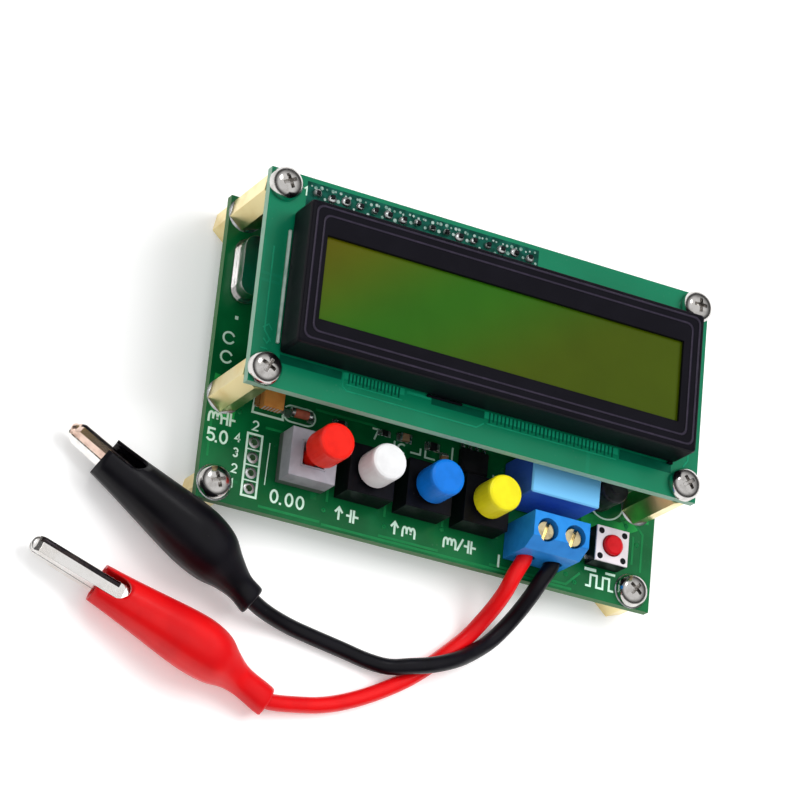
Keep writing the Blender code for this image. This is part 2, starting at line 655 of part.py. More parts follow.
def make_boot(name, look, frame, rows):
    """Soft vinyl sleeve: an open tube of oval sections."""
    sides = 20
    bm = bmesh.new()
    rings = [
        [
            bm.verts.new(Vector((x, wide * cos(2 * pi * i / sides), drop + high * sin(2 * pi * i / sides))) * MM)
            for i in range(sides)
        ]
        for x, wide, high, drop in rows
    ]
    for ring, following in zip(rings, rings[1:]):
        for i in range(sides):
            j = (i + 1) % sides
            bm.faces.new((ring[i], ring[j], following[j], following[i]))
    mesh = bpy.data.meshes.new(name)
    bm.to_mesh(mesh)
    bm.free()
    mesh.shade_smooth()
    boot = add_object(name, mesh, look, frame)
    wall = boot.modifiers.new("wall", "SOLIDIFY")
    wall.thickness = BOOT_WALL * MM
    wall.offset = -1.0
    wall.use_even_offset = True
    return boot


def make_spring(name, frame):
    """Torsion coil around the pivot pin, with one leg along the fixed jaw."""
    wire, radius, turns, per_turn = 0.2, 1.08, 2.5, 12
    points = [(JAW_PIVOT + 4.5, -0.55, -1.7), (JAW_PIVOT + 1.5, -0.55, -1.25)]
    for step in range(int(turns * per_turn) + 1):
        angle = -pi / 2 - 2 * pi * step / per_turn
        along = -0.55 + 1.1 * step / (turns * per_turn)
        points.append((JAW_PIVOT + radius * cos(angle), along, radius * sin(angle)))
    points.append((JAW_PIVOT + 0.6, 0.55, radius))
    tube(name, points, wire, nickel, frame, resolution=1)


def make_clip(prefix, look, clip):
    """The jaws, pin, spring and sleeve of one clip; returns the path of its lead inside it."""
    tip_x, tip_y = clip["tip"]
    base = clip_frame(f"{prefix} clip", (tip_x, tip_y, clip["lift"]), (0, -clip["tilt"], clip["heading"]))
    pivot = clip_frame(f"{prefix} pivot", (0, 0, 0), (clip["roll"], 0, 0), base)
    make_jaw(f"{prefix}_clip_fixed_jaw", -1, EAR_WIDTH, pivot)
    make_jaw(f"{prefix}_clip_moving_jaw", 1, JAW_WIDTH, pivot)
    pin = rod(f"{prefix}_clip_pin", (0, 0), 0.65, (-2.1, 2.1), nickel, sides=16, parent=pivot)
    pin.location = Vector((JAW_PIVOT, 0, 0)) * MM
    pin.rotation_euler = (pi / 2, 0, 0)
    make_spring(f"{prefix}_clip_spring", pivot)
    rows = boot_centre(clip["mouth"], clip["tail"], clip["collar"], clip["girth"])
    boot = make_boot(f"{prefix}_clip_boot", look, base, rows)
    mouth = clip["mouth"]
    notch = block(f"{prefix} notch", (mouth - 2, -1.8, 0.9), (mouth + clip["notch"], 1.8, 8), parent=pivot)
    cut(boot, notch)
    bpy.context.view_layer.update()
    centres = [(clip["tail"] - 8, -0.9), *((x, drop) for x, _, _, drop in rows[-2:])]
    return [base.matrix_world @ Vector((x * MM, 0, z * MM)) / MM for x, z in centres]


def make_lead(prefix, look, route, inside_boot):
    points = smooth_route([*route, *reversed(inside_boot)], 2.2 * LEAD_RADIUS)
    tube(f"{prefix}_lead", points, LEAD_RADIUS, look)


make_main_board()
make_display()
make_display_header()
make_hardware()
make_switches()
make_tact_switch()
make_terminal()
make_board_parts()
for prefix, look in (("black", black_vinyl), ("red", red_vinyl)):
    inside_boot = make_clip(prefix, look, CLIPS[prefix])
    make_lead(prefix, look, LEADS[prefix], inside_boot)
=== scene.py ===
# Looks for the open two-board meter: finishes, printed legend, solder, small parts, sleeves and leads.
import math
import random

import bmesh
import bpy
from mathutils import Euler, Matrix, Vector


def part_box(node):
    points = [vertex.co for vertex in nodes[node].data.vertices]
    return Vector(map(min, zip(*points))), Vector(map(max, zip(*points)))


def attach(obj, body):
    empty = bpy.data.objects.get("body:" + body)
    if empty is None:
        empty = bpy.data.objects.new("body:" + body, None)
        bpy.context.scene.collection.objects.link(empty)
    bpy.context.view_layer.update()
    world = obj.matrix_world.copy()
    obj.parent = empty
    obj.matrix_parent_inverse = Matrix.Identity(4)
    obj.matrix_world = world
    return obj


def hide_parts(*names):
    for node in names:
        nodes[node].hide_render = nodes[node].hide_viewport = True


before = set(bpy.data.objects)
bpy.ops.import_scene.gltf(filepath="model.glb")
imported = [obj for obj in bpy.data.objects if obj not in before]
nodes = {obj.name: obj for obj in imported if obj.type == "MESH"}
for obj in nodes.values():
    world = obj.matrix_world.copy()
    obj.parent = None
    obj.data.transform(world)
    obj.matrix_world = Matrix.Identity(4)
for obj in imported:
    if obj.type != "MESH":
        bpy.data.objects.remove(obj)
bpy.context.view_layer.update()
mm = 0.001
random.seed(5)


def boxOf(node):
    # a CAD node's box in millimetres
    return [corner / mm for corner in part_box(node)]


boardUnder, boardTop = (corner.z for corner in boxOf("main_board"))
displayUnder, displayTop = (corner.z for corner in boxOf("display_board"))
print("frame loaded:", len(nodes), "nodes")


# Camera and leads first

cameraSet = {
    "place": (-0.22985, -0.2031, 0.4737),
    "looking": (0.400, 0.364, -0.841),
    "up": (-0.246, 0.927, 0.284),
    "lens": 156.24,
}


def aimCamera():
    looking = Vector(cameraSet["looking"]).normalized()
    right = looking.cross(Vector(cameraSet["up"])).normalized()
    up = right.cross(looking)
    data = bpy.data.cameras.new("camera")
    data.lens = cameraSet["lens"]
    data.sensor_width = 36
    data.clip_start = 0.01
    camera = bpy.data.objects.new("camera", data)
    turn = Matrix((right, up, -looking)).transposed().to_4x4()
    camera.matrix_world = Matrix.Translation(cameraSet["place"]) @ turn
    bpy.context.scene.collection.objects.link(camera)
    bpy.context.scene.camera = camera


aimCamera()


def smoothRoute(route, spacing):
    # evenly spaced points on a smooth curve through the route
    route = [Vector(p) for p in route]
    ends = [2 * route[0] - route[1], *route, 2 * route[-1] - route[-2]]
    points = []
    for a, b, c, d in zip(ends, ends[1:], ends[2:], ends[3:]):
        steps = max(1, round((c - b).length / spacing))
        for step in range(steps):
            t = step / steps
            points.append(0.5 * (2 * b + (c - a) * t + (2 * a - 5 * b + 4 * c - d) * t ** 2
                                 + (3 * b - a - 3 * c + d) * t ** 3))
    return [*points, route[-1]]


# Both clips: where the nose is, how the clip lies, and distances from its nose, in millimetres.
clipSet = {
    "black": {"tip": (-60.19, -18.71, 2.85), "heading": -32.5, "tilt": 7.5, "roll": -28.0,
              "mouth": 6.0, "tail": 35.0, "collar": 2.5, "notch": 6.0, "girth": 0.93},
    "red": {"tip": (-63.8, -38.0, 2.6), "heading": -21.5, "tilt": 5.9, "roll": 0.0,
            "mouth": 10.9, "tail": 38.3, "collar": 4.5, "notch": 4.8, "girth": 0.86},
}

leadSet = {
    "radius": 1.3,
    "black": [
        (20.7, -22.1, 9.6), (20.5, -23.2, 9.55), (19.33, -25.6, 8.9), (18.74, -27.7, 7.2),
        (17.93, -30.2, 4.7), (16.64, -32.8, 2.5), (14.45, -35.5, 1.8), (10.75, -38.5, 2.7),
        (7.58, -40.5, 3.8), (3.7, -42.2, 4.2), (0.2, -43.1, 3.8), (-2.9, -43.55, 2.25),
        (-6.5, -43.15, 1.4), (-11.0, -42.35, 1.35), (-15.5, -41.6, 1.35), (-20.6, -40.8, 1.75),
        (-25.3, -39.95, 3.1),
    ],
    "red": [
        (15.7, -22.1, 9.6), (15.5, -23.2, 9.55), (14.32, -25.9, 9.0), (13.85, -28.2, 7.6),
        (13.22, -30.6, 5.2), (12.27, -32.8, 3.1), (10.73, -35.3, 1.7), (8.22, -38.0, 1.35),
        (4.26, -41.75, 1.35), (0.0, -45.2, 1.35), (-5.9, -48.8, 1.35), (-11.7, -51.4, 1.35),
        (-17.0, -52.8, 1.8),
    ],
}


def clipMatrix(clip, rolled=False):
    turn = Euler((0, -math.radians(clip["tilt"]), math.radians(clip["heading"]))).to_matrix().to_4x4()
    matrix = Matrix.Translation(clip["tip"]) @ turn
    if rolled:
        matrix = matrix @ Matrix.Rotation(math.radians(clip["roll"]), 4, "X")
    return matrix


def leadPath(name):
    # the route on the table, then up the sleeve's collar to behind the arms of the clip
    clip = clipSet[name]
    place = clipMatrix(clip)
    inside = [(clip["tail"] + clip["collar"], -2.7 - 0.33 * clip["collar"]), (clip["tail"], -2.7),
              (clip["tail"] - 8, -0.9)]
    route = [Vector(p) for p in leadSet[name]] + [place @ Vector((x, 0, z)) for x, z in inside]
    return [point * mm for point in smoothRoute(route, leadSet["radius"])]


def lengthOf(points):
    return sum((b - a).length for a, b in zip(points, points[1:]))


def makeLead(name):
    points = leadPath(name)
    curve = bpy.data.curves.new(name + "LeadWire", "CURVE")
    curve.dimensions = "3D"
    curve.bevel_depth = leadSet["radius"] * mm
    curve.bevel_resolution = 6
    curve.use_fill_caps = True
    spline = curve.splines.new("POLY")
    spline.points.add(len(points) - 1)
    for point, place in zip(spline.points, points):
        point.co = (*place, 1)
    spline.use_smooth = True
    line = bpy.data.objects.new(name + "Line", curve)
    bpy.context.scene.collection.objects.link(line)
    mesh = bpy.data.meshes.new_from_object(line.evaluated_get(bpy.context.evaluated_depsgraph_get()))
    bpy.data.objects.remove(line, do_unlink=True)
    lead = bpy.data.objects.new(name + "LeadWire", mesh)
    bpy.context.scene.collection.objects.link(lead)
    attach(lead, "meter")
    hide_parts(name + "_lead")
    print(name, "lead", round(lengthOf(points) * 1000, 1), "mm")
    return lead, points


leads = {name: makeLead(name) for name in ("black", "red")}


# Shader node groups

def newGroup(name, inputs, outputs):
    group = bpy.data.node_groups.new(name, "ShaderNodeTree")
    for label, kind, value in inputs:
        socket = group.interface.new_socket(label, in_out="INPUT", socket_type=kind)
        socket.default_value = value
    for label, kind in outputs:
        group.interface.new_socket(label, in_out="OUTPUT", socket_type=kind)
    return group, group.nodes.new("NodeGroupInput"), group.nodes.new("NodeGroupOutput")


def addNode(tree, kind, links=(), **settings):
    # a node with its settings, and its inputs either linked or given a value
    node = tree.nodes.new(kind)
    for key, value in settings.items():
        setattr(node, key, value)
    for socket, value in dict(links).items():
        target = node.inputs[socket]
        if isinstance(value, bpy.types.NodeSocket):
            tree.links.new(value, target)
        else:
            target.default_value = value
    return node


def ranged(tree, value, start, end, low=0.0, high=1.0, **settings):
    node = addNode(tree, "ShaderNodeMapRange", {"Value": value, "From Min": start, "From Max": end,
                                                "To Min": low, "To Max": high}, **settings)
    return node.outputs["Result"]


def mixed(tree, factor, first, second):
    node = addNode(tree, "ShaderNodeMix", {"Factor": factor, "A": first, "B": second}, data_type="RGBA")
    return node.outputs["Result"]


def maths(tree, operation, first, second=0.0, **settings):
    return addNode(tree, "ShaderNodeMath", {0: first, 1: second}, operation=operation, **settings).outputs[0]


def objectPlace(tree):
    return addNode(tree, "ShaderNodeTexCoord").outputs["Object"]


def makeMottleGroup():
    # soft patches between two colours, with a mask for roughness
    group, given, result = newGroup(
        "mottle",
        [("Colour A", "NodeSocketColor", (1, 1, 1, 1)), ("Colour B", "NodeSocketColor", (0, 0, 0, 1)),
         ("Scale", "NodeSocketFloat", 100), ("Low", "NodeSocketFloat", 0.4), ("High", "NodeSocketFloat", 0.6)],
        [("Colour", "NodeSocketColor"), ("Mask", "NodeSocketFloat")],
    )
    noise = addNode(group, "ShaderNodeTexNoise",
                    {"Vector": objectPlace(group), "Scale": given.outputs["Scale"], "Detail": 3})
    spread = ranged(group, noise.outputs["Fac"], given.outputs["Low"], given.outputs["High"],
                    interpolation_type="SMOOTHSTEP")
    both = mixed(group, spread, given.outputs["Colour A"], given.outputs["Colour B"])
    group.links.new(both, result.inputs["Colour"])
    group.links.new(spread, result.inputs["Mask"])
    return group


def makeGrainGroup():
    # moulded or plated micro-texture as a height, coarse undulation and fine grain together
    group, given, result = newGroup(
        "grain",
        [("Fine", "NodeSocketFloat", 6000), ("Coarse", "NodeSocketFloat", 300),
         ("Balance", "NodeSocketFloat", 0.5)],
        [("Height", "NodeSocketFloat")],
    )
    place = objectPlace(group)
    fine, coarse = (addNode(group, "ShaderNodeTexNoise", {"Vector": place, "Scale": given.outputs[size],
                                                          "Detail": detail}).outputs["Fac"]
                    for size, detail in (("Fine", 2), ("Coarse", 1)))
    mix = addNode(group, "ShaderNodeMix", {"Factor": given.outputs["Balance"], "A": fine, "B": coarse})
    group.links.new(mix.outputs["Result"], result.inputs["Height"])
    return group


def makeDustGroup():
    # sparse pale specks that gather on faces looking up
    group, given, result = newGroup(
        "dust",
        [("Colour", "NodeSocketColor", (1, 1, 1, 1)), ("Dust colour", "NodeSocketColor", (0.6, 0.58, 0.55, 1)),
         ("Amount", "NodeSocketFloat", 0.3)],
        [("Colour", "NodeSocketColor")],
    )
    place = objectPlace(group)
    specks = addNode(group, "ShaderNodeTexVoronoi", {"Vector": place, "Scale": 900})
    patches = addNode(group, "ShaderNodeTexNoise", {"Vector": place, "Scale": 260})
    shape = addNode(group, "ShaderNodeNewGeometry")
    parts = addNode(group, "ShaderNodeSeparateXYZ", {"Vector": shape.outputs["Normal"]})
    small = ranged(group, specks.outputs["Distance"], 0.16, 0.08)
    where = ranged(group, patches.outputs["Fac"], 0.5, 0.7)
    upward = ranged(group, parts.outputs["Z"], 0.5, 0.9)
    facing = maths(group, "MULTIPLY", maths(group, "MULTIPLY", small, where), upward)
    mask = maths(group, "MULTIPLY", facing, given.outputs["Amount"], use_clamp=True)
    dusty = mixed(group, mask, given.outputs["Colour"], given.outputs["Dust colour"])
    group.links.new(dusty, result.inputs["Colour"])
    return group


def makeEdgeAndSideShadeGroup():
    # a laminated board: one colour on its two faces and another on its sawn edges; on the relay the same split
    # paints its sides darker than its top as painted shade
    group, given, result = newGroup(
        "edgeAndSideShade",
        [("Face", "NodeSocketColor", (0, 0.2, 0, 1)), ("Edge", "NodeSocketColor", (0.5, 0.6, 0.4, 1))],
        [("Colour", "NodeSocketColor"), ("Mask", "NodeSocketFloat")],
    )
    shape = addNode(group, "ShaderNodeNewGeometry")
    parts = addNode(group, "ShaderNodeSeparateXYZ", {"Vector": shape.outputs["True Normal"]})
    side = ranged(group, maths(group, "ABSOLUTE", parts.outputs["Z"]), 0.6, 0.4)
    both = mixed(group, side, given.outputs["Face"], given.outputs["Edge"])
    group.links.new(both, result.inputs["Colour"])
    group.links.new(side, result.inputs["Mask"])
    return group


def makeTrackGroup():
    # copper under the solder mask: long angular shapes that show as a paler tone and a slight relief
    group, given, result = newGroup(
        "tracks",
        [("Scale", "NodeSocketFloat", 200), ("Width", "NodeSocketFloat", 0.1)],
        [("Mask", "NodeSocketFloat")],
    )
    cells = addNode(group, "ShaderNodeTexVoronoi",
                    {"Vector": objectPlace(group), "Scale": given.outputs["Scale"], "Randomness": 0.85},
                    distance="CHEBYCHEV", feature="F1")
    wave = maths(group, "PINGPONG", cells.outputs["Distance"], 0.36)
    group.links.new(ranged(group, wave, given.outputs["Width"], 0.02), result.inputs["Mask"])
    return group


mottle = makeMottleGroup()
grain = makeGrainGroup()
dust = makeDustGroup()
edgeAndSideShade = makeEdgeAndSideShadeGroup()
tracks = makeTrackGroup()
print("shader groups ready")


# Materials

def startMaterial(name, roughness, metallic=0.0, coat=0.0, specular=0.2):
    made = bpy.data.materials.new(name)
    made.use_nodes = True
    shader = made.node_tree.nodes["Principled BSDF"]
    shader.inputs["Roughness"].default_value = roughness
    shader.inputs["Metallic"].default_value = metallic
    shader.inputs["Coat Weight"].default_value = coat
    shader.inputs["Coat Roughness"].default_value = 0.08
    shader.inputs["Specular IOR Level"].default_value = specular
    return made, made.node_tree, shader


def fillGroup(tree, group, links):
    return addNode(tree, "ShaderNodeGroup", links, node_tree=group)


def addBump(tree, shader, height, strength, distance, corner=None):
    given = {"Strength": strength, "Distance": distance * mm, "Height": height}
    bump = addNode(tree, "ShaderNodeBump", given | ({"Normal": corner} if corner else {}))
    tree.links.new(bump.outputs["Normal"], shader.inputs["Normal"])


def addRelief(tree, shader, finish):
    # softened corners and fine grain together feed the normal
    corner = addNode(tree, "ShaderNodeBevel", {"Radius": finish["corner"] * mm}, samples=4)
    height = fillGroup(tree, grain, {"Fine": finish.get("fine", 5000.0), "Coarse": finish.get("coarse", 400.0),
                                     "Balance": 0.5})
    addBump(tree, shader, height.outputs["Height"], finish.get("bump", 0.15), 0.05, corner.outputs["Normal"])


def spreadRoughness(tree, shader, mask, low, high):
    tree.links.new(ranged(tree, mask, 0.0, 1.0, low, high), shader.inputs["Roughness"])


plasticSet = {
    # two colours, then a range of roughness and whatever differs from the usual
    "blackPlastic": {"a": (0.004, 0.004, 0.006), "b": (0.007, 0.007, 0.009), "rough": (0.38, 0.55), "dust": 0.06},
    "blackSwitchPlastic": {"a": (0.003, 0.003, 0.005), "b": (0.006, 0.006, 0.009), "rough": (0.36, 0.5),
                           "dust": 0.04, "corner": 0.2, "shine": 0.12},
    "redCap": {"a": (0.86, 0.014, 0.005), "b": (0.78, 0.010, 0.004), "rough": (0.34, 0.46), "coat": 0.05},
    "whiteCap": {"a": (0.84, 0.84, 0.85), "b": (0.78, 0.78, 0.79), "rough": (0.34, 0.46), "coat": 0.05},
    "blueCap": {"a": (0.004, 0.185, 0.72), "b": (0.004, 0.16, 0.62), "rough": (0.34, 0.46), "coat": 0.05},
    "yellowCap": {"a": (0.88, 0.80, 0.012), "b": (0.82, 0.72, 0.01), "rough": (0.34, 0.46), "coat": 0.05},
    "terminalBlue": {"a": (0.018, 0.26, 0.75), "b": (0.012, 0.21, 0.66), "rough": (0.34, 0.46), "coat": 0.03,
                     "corner": 0.18},
    "plungerRed": {"a": (0.62, 0.004, 0.010), "b": (0.50, 0.002, 0.006), "rough": (0.3, 0.42), "coat": 0.05},
    "orangeEpoxy": {"a": (0.80, 0.33, 0.08), "b": (0.68, 0.24, 0.05), "rough": (0.4, 0.6)},
    "coverPlate": {"a": (0.80, 0.74, 0.77), "b": (0.70, 0.64, 0.67), "rough": (0.35, 0.5)},
    "edgeStrip": {"a": (0.55, 0.70, 0.62), "b": (0.38, 0.55, 0.47), "rough": (0.3, 0.45)},
    "chipEpoxy": {"a": (0.006, 0.006, 0.007), "b": (0.012, 0.012, 0.013), "rough": (0.5, 0.7), "fine": 9000.0,
                  "bump": 0.3},
    "coilEpoxy": {"a": (0.02, 0.02, 0.022), "b": (0.05, 0.05, 0.052), "rough": (0.25, 0.5), "coat": 0.2},
    "contactRubber": {"a": (0.03, 0.03, 0.03), "b": (0.06, 0.06, 0.06), "rough": (0.7, 0.9)},
    "lightGuide": {"a": (0.62, 0.78, 0.60), "b": (0.50, 0.68, 0.50), "rough": (0.3, 0.5)},
    "ceramicTan": {"a": (0.35, 0.22, 0.12), "b": (0.28, 0.17, 0.09), "rough": (0.45, 0.6)},
    "diodeGlass": {"a": (0.50, 0.13, 0.08), "b": (0.30, 0.06, 0.04), "rough": (0.08, 0.2), "coat": 0.6},
}


metalSet = {
    "nickelPlate": {"a": (0.66, 0.64, 0.62), "b": (0.50, 0.48, 0.46), "rough": (0.12, 0.22), "bump": 0.06},
    "brass": {"a": (0.93, 0.78, 0.42), "b": (0.88, 0.70, 0.34), "rough": (0.3, 0.4), "bump": 0.03,
              "patch": 250.0, "coarse": 200.0},
    "tinPlate": {"a": (0.74, 0.73, 0.72), "b": (0.58, 0.57, 0.56), "rough": (0.2, 0.36), "bump": 0.12},
    "canTin": {"a": (0.72, 0.71, 0.70), "b": (0.62, 0.61, 0.60), "rough": (0.16, 0.24), "bump": 0.03,
               "patch": 200.0},
    "solder": {"a": (0.66, 0.68, 0.68), "b": (0.42, 0.44, 0.44), "rough": (0.25, 0.45), "bump": 0.3},
    "jawPlate": {"a": (0.92, 0.90, 0.88), "b": (0.78, 0.74, 0.70), "rough": (0.12, 0.24), "bump": 0.06,
                 "patch": 350.0},
    "copperyPlate": {"a": (0.80, 0.60, 0.50), "b": (0.60, 0.40, 0.32), "rough": (0.14, 0.26), "bump": 0.06},
    "jawShadow": {"a": (0.030, 0.026, 0.030), "b": (0.08, 0.06, 0.055), "rough": (0.25, 0.4), "bump": 0.06},
    "goldScrew": {"a": (0.80, 0.68, 0.40), "b": (0.55, 0.46, 0.28), "rough": (0.18, 0.3), "bump": 0.1},
    "contactGold": {"a": (0.85, 0.62, 0.25), "b": (0.75, 0.52, 0.2), "rough": (0.2, 0.35), "bump": 0.1},
    # the frame's ribs, paler than the frame as painted highlight
    "ribHighlightSteel": {"a": (0.020, 0.015, 0.030), "b": (0.030, 0.022, 0.042), "rough": (0.3, 0.4), "bump": 0.05,
                 "metal": 0.0, "corner": 0.1, "shine": 0.3},
    "blackSteel": {"a": (0.0035, 0.003, 0.006), "b": (0.005, 0.0045, 0.008), "rough": (0.38, 0.46), "bump": 0.05,
                   "metal": 0.0, "corner": 0.3, "patch": 200.0, "shine": 0.1},
}


usualSet = {
    "plastic": {"metal": 0.0, "shine": 0.2, "coat": 0.0, "dust": 0.0, "patch": 420.0, "low": 0.35, "high": 0.7,
                "corner": 0.12},
    "metal": {"metal": 1.0, "shine": 0.5, "coat": 0.0, "dust": 0.0, "patch": 700.0, "low": 0.4, "high": 0.72,
              "corner": 0.1},
}


def makeFinish(name, kind, finish):
    # two mottled colours, uneven roughness, softened corners and grain
    finish = {**usualSet[kind], **finish}
    made, tree, shader = startMaterial(name, 0.4, finish["metal"], finish["coat"], finish["shine"])
    tone = fillGroup(tree, mottle, {"Colour A": (*finish["a"], 1), "Colour B": (*finish["b"], 1),
                                    "Scale": finish["patch"], "Low": finish["low"], "High": finish["high"]})
    dusty = fillGroup(tree, dust, {"Colour": tone.outputs["Colour"], "Amount": finish["dust"]})
    tree.links.new(dusty.outputs["Colour"], shader.inputs["Base Color"])
    spreadRoughness(tree, shader, tone.outputs["Mask"], *finish["rough"])
    addRelief(tree, shader, finish)
    return made


boardSet = {
    "mainMask": {"a": (0.0, 0.092, 0.024), "b": (0.002, 0.140, 0.038), "track": (0.005, 0.185, 0.052),
                 "edge": (0.07, 0.19, 0.07), "scale": 190.0, "patch": 110.0},
    "displayMask": {"a": (0.0, 0.168, 0.078), "b": (0.0, 0.196, 0.094), "track": (0.002, 0.222, 0.110),
                    "edge": (0.30, 0.50, 0.38), "scale": 150.0, "patch": 70.0},
}


def makeBoardMaterial(name):
    finish = boardSet[name]
    made, tree, shader = startMaterial(name, 0.3, coat=0.08)
    tone = fillGroup(tree, mottle, {"Colour A": (*finish["a"], 1), "Colour B": (*finish["b"], 1),
                                    "Scale": finish["patch"], "Low": 0.35, "High": 0.65})
    copper = fillGroup(tree, tracks, {"Scale": finish["scale"], "Width": 0.05}).outputs["Mask"]
    faint = maths(tree, "MULTIPLY", copper, 0.4, use_clamp=True)
    face = mixed(tree, faint, tone.outputs["Colour"], (*finish["track"], 1))
    both = fillGroup(tree, edgeAndSideShade, {"Face": face, "Edge": (*finish["edge"], 1)})
    dusty = fillGroup(tree, dust, {"Colour": both.outputs["Colour"], "Amount": 0.04})
    tree.links.new(dusty.outputs["Colour"], shader.inputs["Base Color"])
    spreadRoughness(tree, shader, both.outputs["Mask"], 0.3, 0.65)
    addBump(tree, shader, copper, 0.25, 0.03)
    return made


vinylSet = {
    "redVinyl": {"a": (0.83, 0.006, 0.008), "b": (0.72, 0.003, 0.006), "rough": (0.28, 0.4), "coat": 0.12},
    "blackVinyl": {"a": (0.0025, 0.0022, 0.004), "b": (0.0045, 0.004, 0.007), "rough": (0.3, 0.42), "coat": 0.03},
}


def makeVinyl(name):
    finish = vinylSet[name]
    made, tree, shader = startMaterial(name, 0.3, coat=finish["coat"])
    shader.inputs["Coat Roughness"].default_value = 0.2
    tone = fillGroup(tree, mottle, {"Colour A": (*finish["a"], 1), "Colour B": (*finish["b"], 1),
                                    "Scale": 160.0, "Low": 0.35, "High": 0.65})
    dusty = fillGroup(tree, dust, {"Colour": tone.outputs["Colour"], "Amount": 0.02})
    tree.links.new(dusty.outputs["Colour"], shader.inputs["Base Color"])
    spreadRoughness(tree, shader, tone.outputs["Mask"], *finish["rough"])
    height = fillGroup(tree, grain, {"Fine": 2600.0, "Coarse": 260.0, "Balance": 0.7})
    addBump(tree, shader, height.outputs["Height"], 0.2, 0.08)
    return made


def fillRamp(ramp, colours):
    # the two stops that a ramp starts with become the ends
    stops = ramp.color_ramp.elements
    for stop, (place, colour) in zip((stops[0], stops[1]), (colours[0], colours[-1])):
        stop.position, stop.color = place, (*colour, 1)
    for place, colour in colours[1:-1]:
        stops.new(place).color = (*colour, 1)


displaySet = {
    "left": (0.086, 0.078, 0.0),
    "middle": (0.021, 0.105, 0.003),
    "right": (0.046, 0.072, 0.0),
}


def makeDisplayMaterial():
    # reflective film: olive at the ends and greener in the middle, under a glossy sheet
    made, tree, shader = startMaterial("displayFilm", 0.22, specular=0.12)
    low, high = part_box("display_glass")
    place = objectPlace(tree)
    parts = addNode(tree, "ShaderNodeSeparateXYZ", {"Vector": place})
    along = ranged(tree, parts.outputs["X"], low.x, high.x)
    across = ranged(tree, parts.outputs["Y"], high.y, low.y, 0.0, 0.45)
    ramp = addNode(tree, "ShaderNodeValToRGB", {"Fac": maths(tree, "ADD", along, across)})
    ramp.color_ramp.interpolation = "EASE"
    fillRamp(ramp, [(0.08, displaySet["left"]), (0.55, displaySet["middle"]), (0.95, displaySet["right"]),
                    (1.25, displaySet["right"])])
    streak = addNode(tree, "ShaderNodeTexNoise", {"Vector": place, "Scale": 120, "Detail": 4}).outputs["Fac"]
    shade = ranged(tree, streak, 0.3, 0.7, 0.94, 1.06)
    tinted = addNode(tree, "ShaderNodeVectorMath", {0: ramp.outputs["Color"], 1: shade}, operation="MULTIPLY")
    tree.links.new(tinted.outputs["Vector"], shader.inputs["Base Color"])
    spreadRoughness(tree, shader, streak, 0.16, 0.26)
    return made


# relay blues: a light blue for the top and a darker blue for the sides, which is painted shade
relaySet = {"top": (0.185, 0.56, 0.95), "side": (0.042, 0.135, 0.66)}


def makeRelayMaterial():
    made, tree, shader = startMaterial("relayBlue", 0.4)
    # the sides get the darker blue as painted shade
    both = fillGroup(tree, edgeAndSideShade, {"Face": (*relaySet["top"], 1), "Edge": (*relaySet["side"], 1)})
    tone = fillGroup(tree, mottle, {"Colour A": both.outputs["Colour"], "Colour B": both.outputs["Colour"],
                                    "Scale": 500.0})
    tree.links.new(tone.outputs["Colour"], shader.inputs["Base Color"])
    spreadRoughness(tree, shader, tone.outputs["Mask"], 0.3, 0.45)
    addRelief(tree, shader, {"corner": 0.2, "bump": 0.12})
    return made


# the switch body is pale grey down to the line below its top, and darker greenish grey under that
greySwitchSet = {"shell": (0.44, 0.43, 0.48), "shell2": (0.38, 0.37, 0.42), "foot": (0.12, 0.145, 0.13),
                 "line": 0.0035}


def makeGreySwitchMaterial():
    # pale grey above a line near the top, a darker greenish grey below it
    made, tree, shader = startMaterial("greySwitchPlastic", 0.4)
    tone = fillGroup(tree, mottle, {"Colour A": (*greySwitchSet["shell"], 1),
                                    "Colour B": (*greySwitchSet["shell2"], 1), "Scale": 380.0})
    parts = addNode(tree, "ShaderNodeSeparateXYZ", {"Vector": objectPlace(tree)})
    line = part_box("zero_switch_body")[1].z - greySwitchSet["line"]
    below = ranged(tree, parts.outputs["Z"], line + 0.05 * mm, line - 0.05 * mm)
    both = mixed(tree, below, tone.outputs["Colour"], (*greySwitchSet["foot"], 1))
    tree.links.new(both, shader.inputs["Base Color"])
    spreadRoughness(tree, shader, tone.outputs["Mask"], 0.35, 0.5)
    addRelief(tree, shader, {"corner": 0.25})
    return made


def makeInk():
    made, tree, shader = startMaterial("legendInk", 0.5)
    tone = fillGroup(tree, mottle, {"Colour A": (0.66, 0.88, 0.74, 1), "Colour B": (0.56, 0.80, 0.64, 1),
                                    "Scale": 700.0, "Low": 0.4, "High": 0.75})
    tree.links.new(tone.outputs["Colour"], shader.inputs["Base Color"])
    spreadRoughness(tree, shader, tone.outputs["Mask"], 0.45, 0.6)
    return made


looks = {name: makeFinish(name, "plastic", finish) for name, finish in plasticSet.items()}
looks |= {name: makeFinish(name, "metal", finish) for name, finish in metalSet.items()}
looks |= {name: makeBoardMaterial(name) for name in boardSet}
looks |= {name: makeVinyl(name) for name in vinylSet}
looks["displayFilm"] = makeDisplayMaterial()
looks["relayBlue"] = makeRelayMaterial()
looks["greySwitch"] = makeGreySwitchMaterial()
looks["ink"] = makeInk()

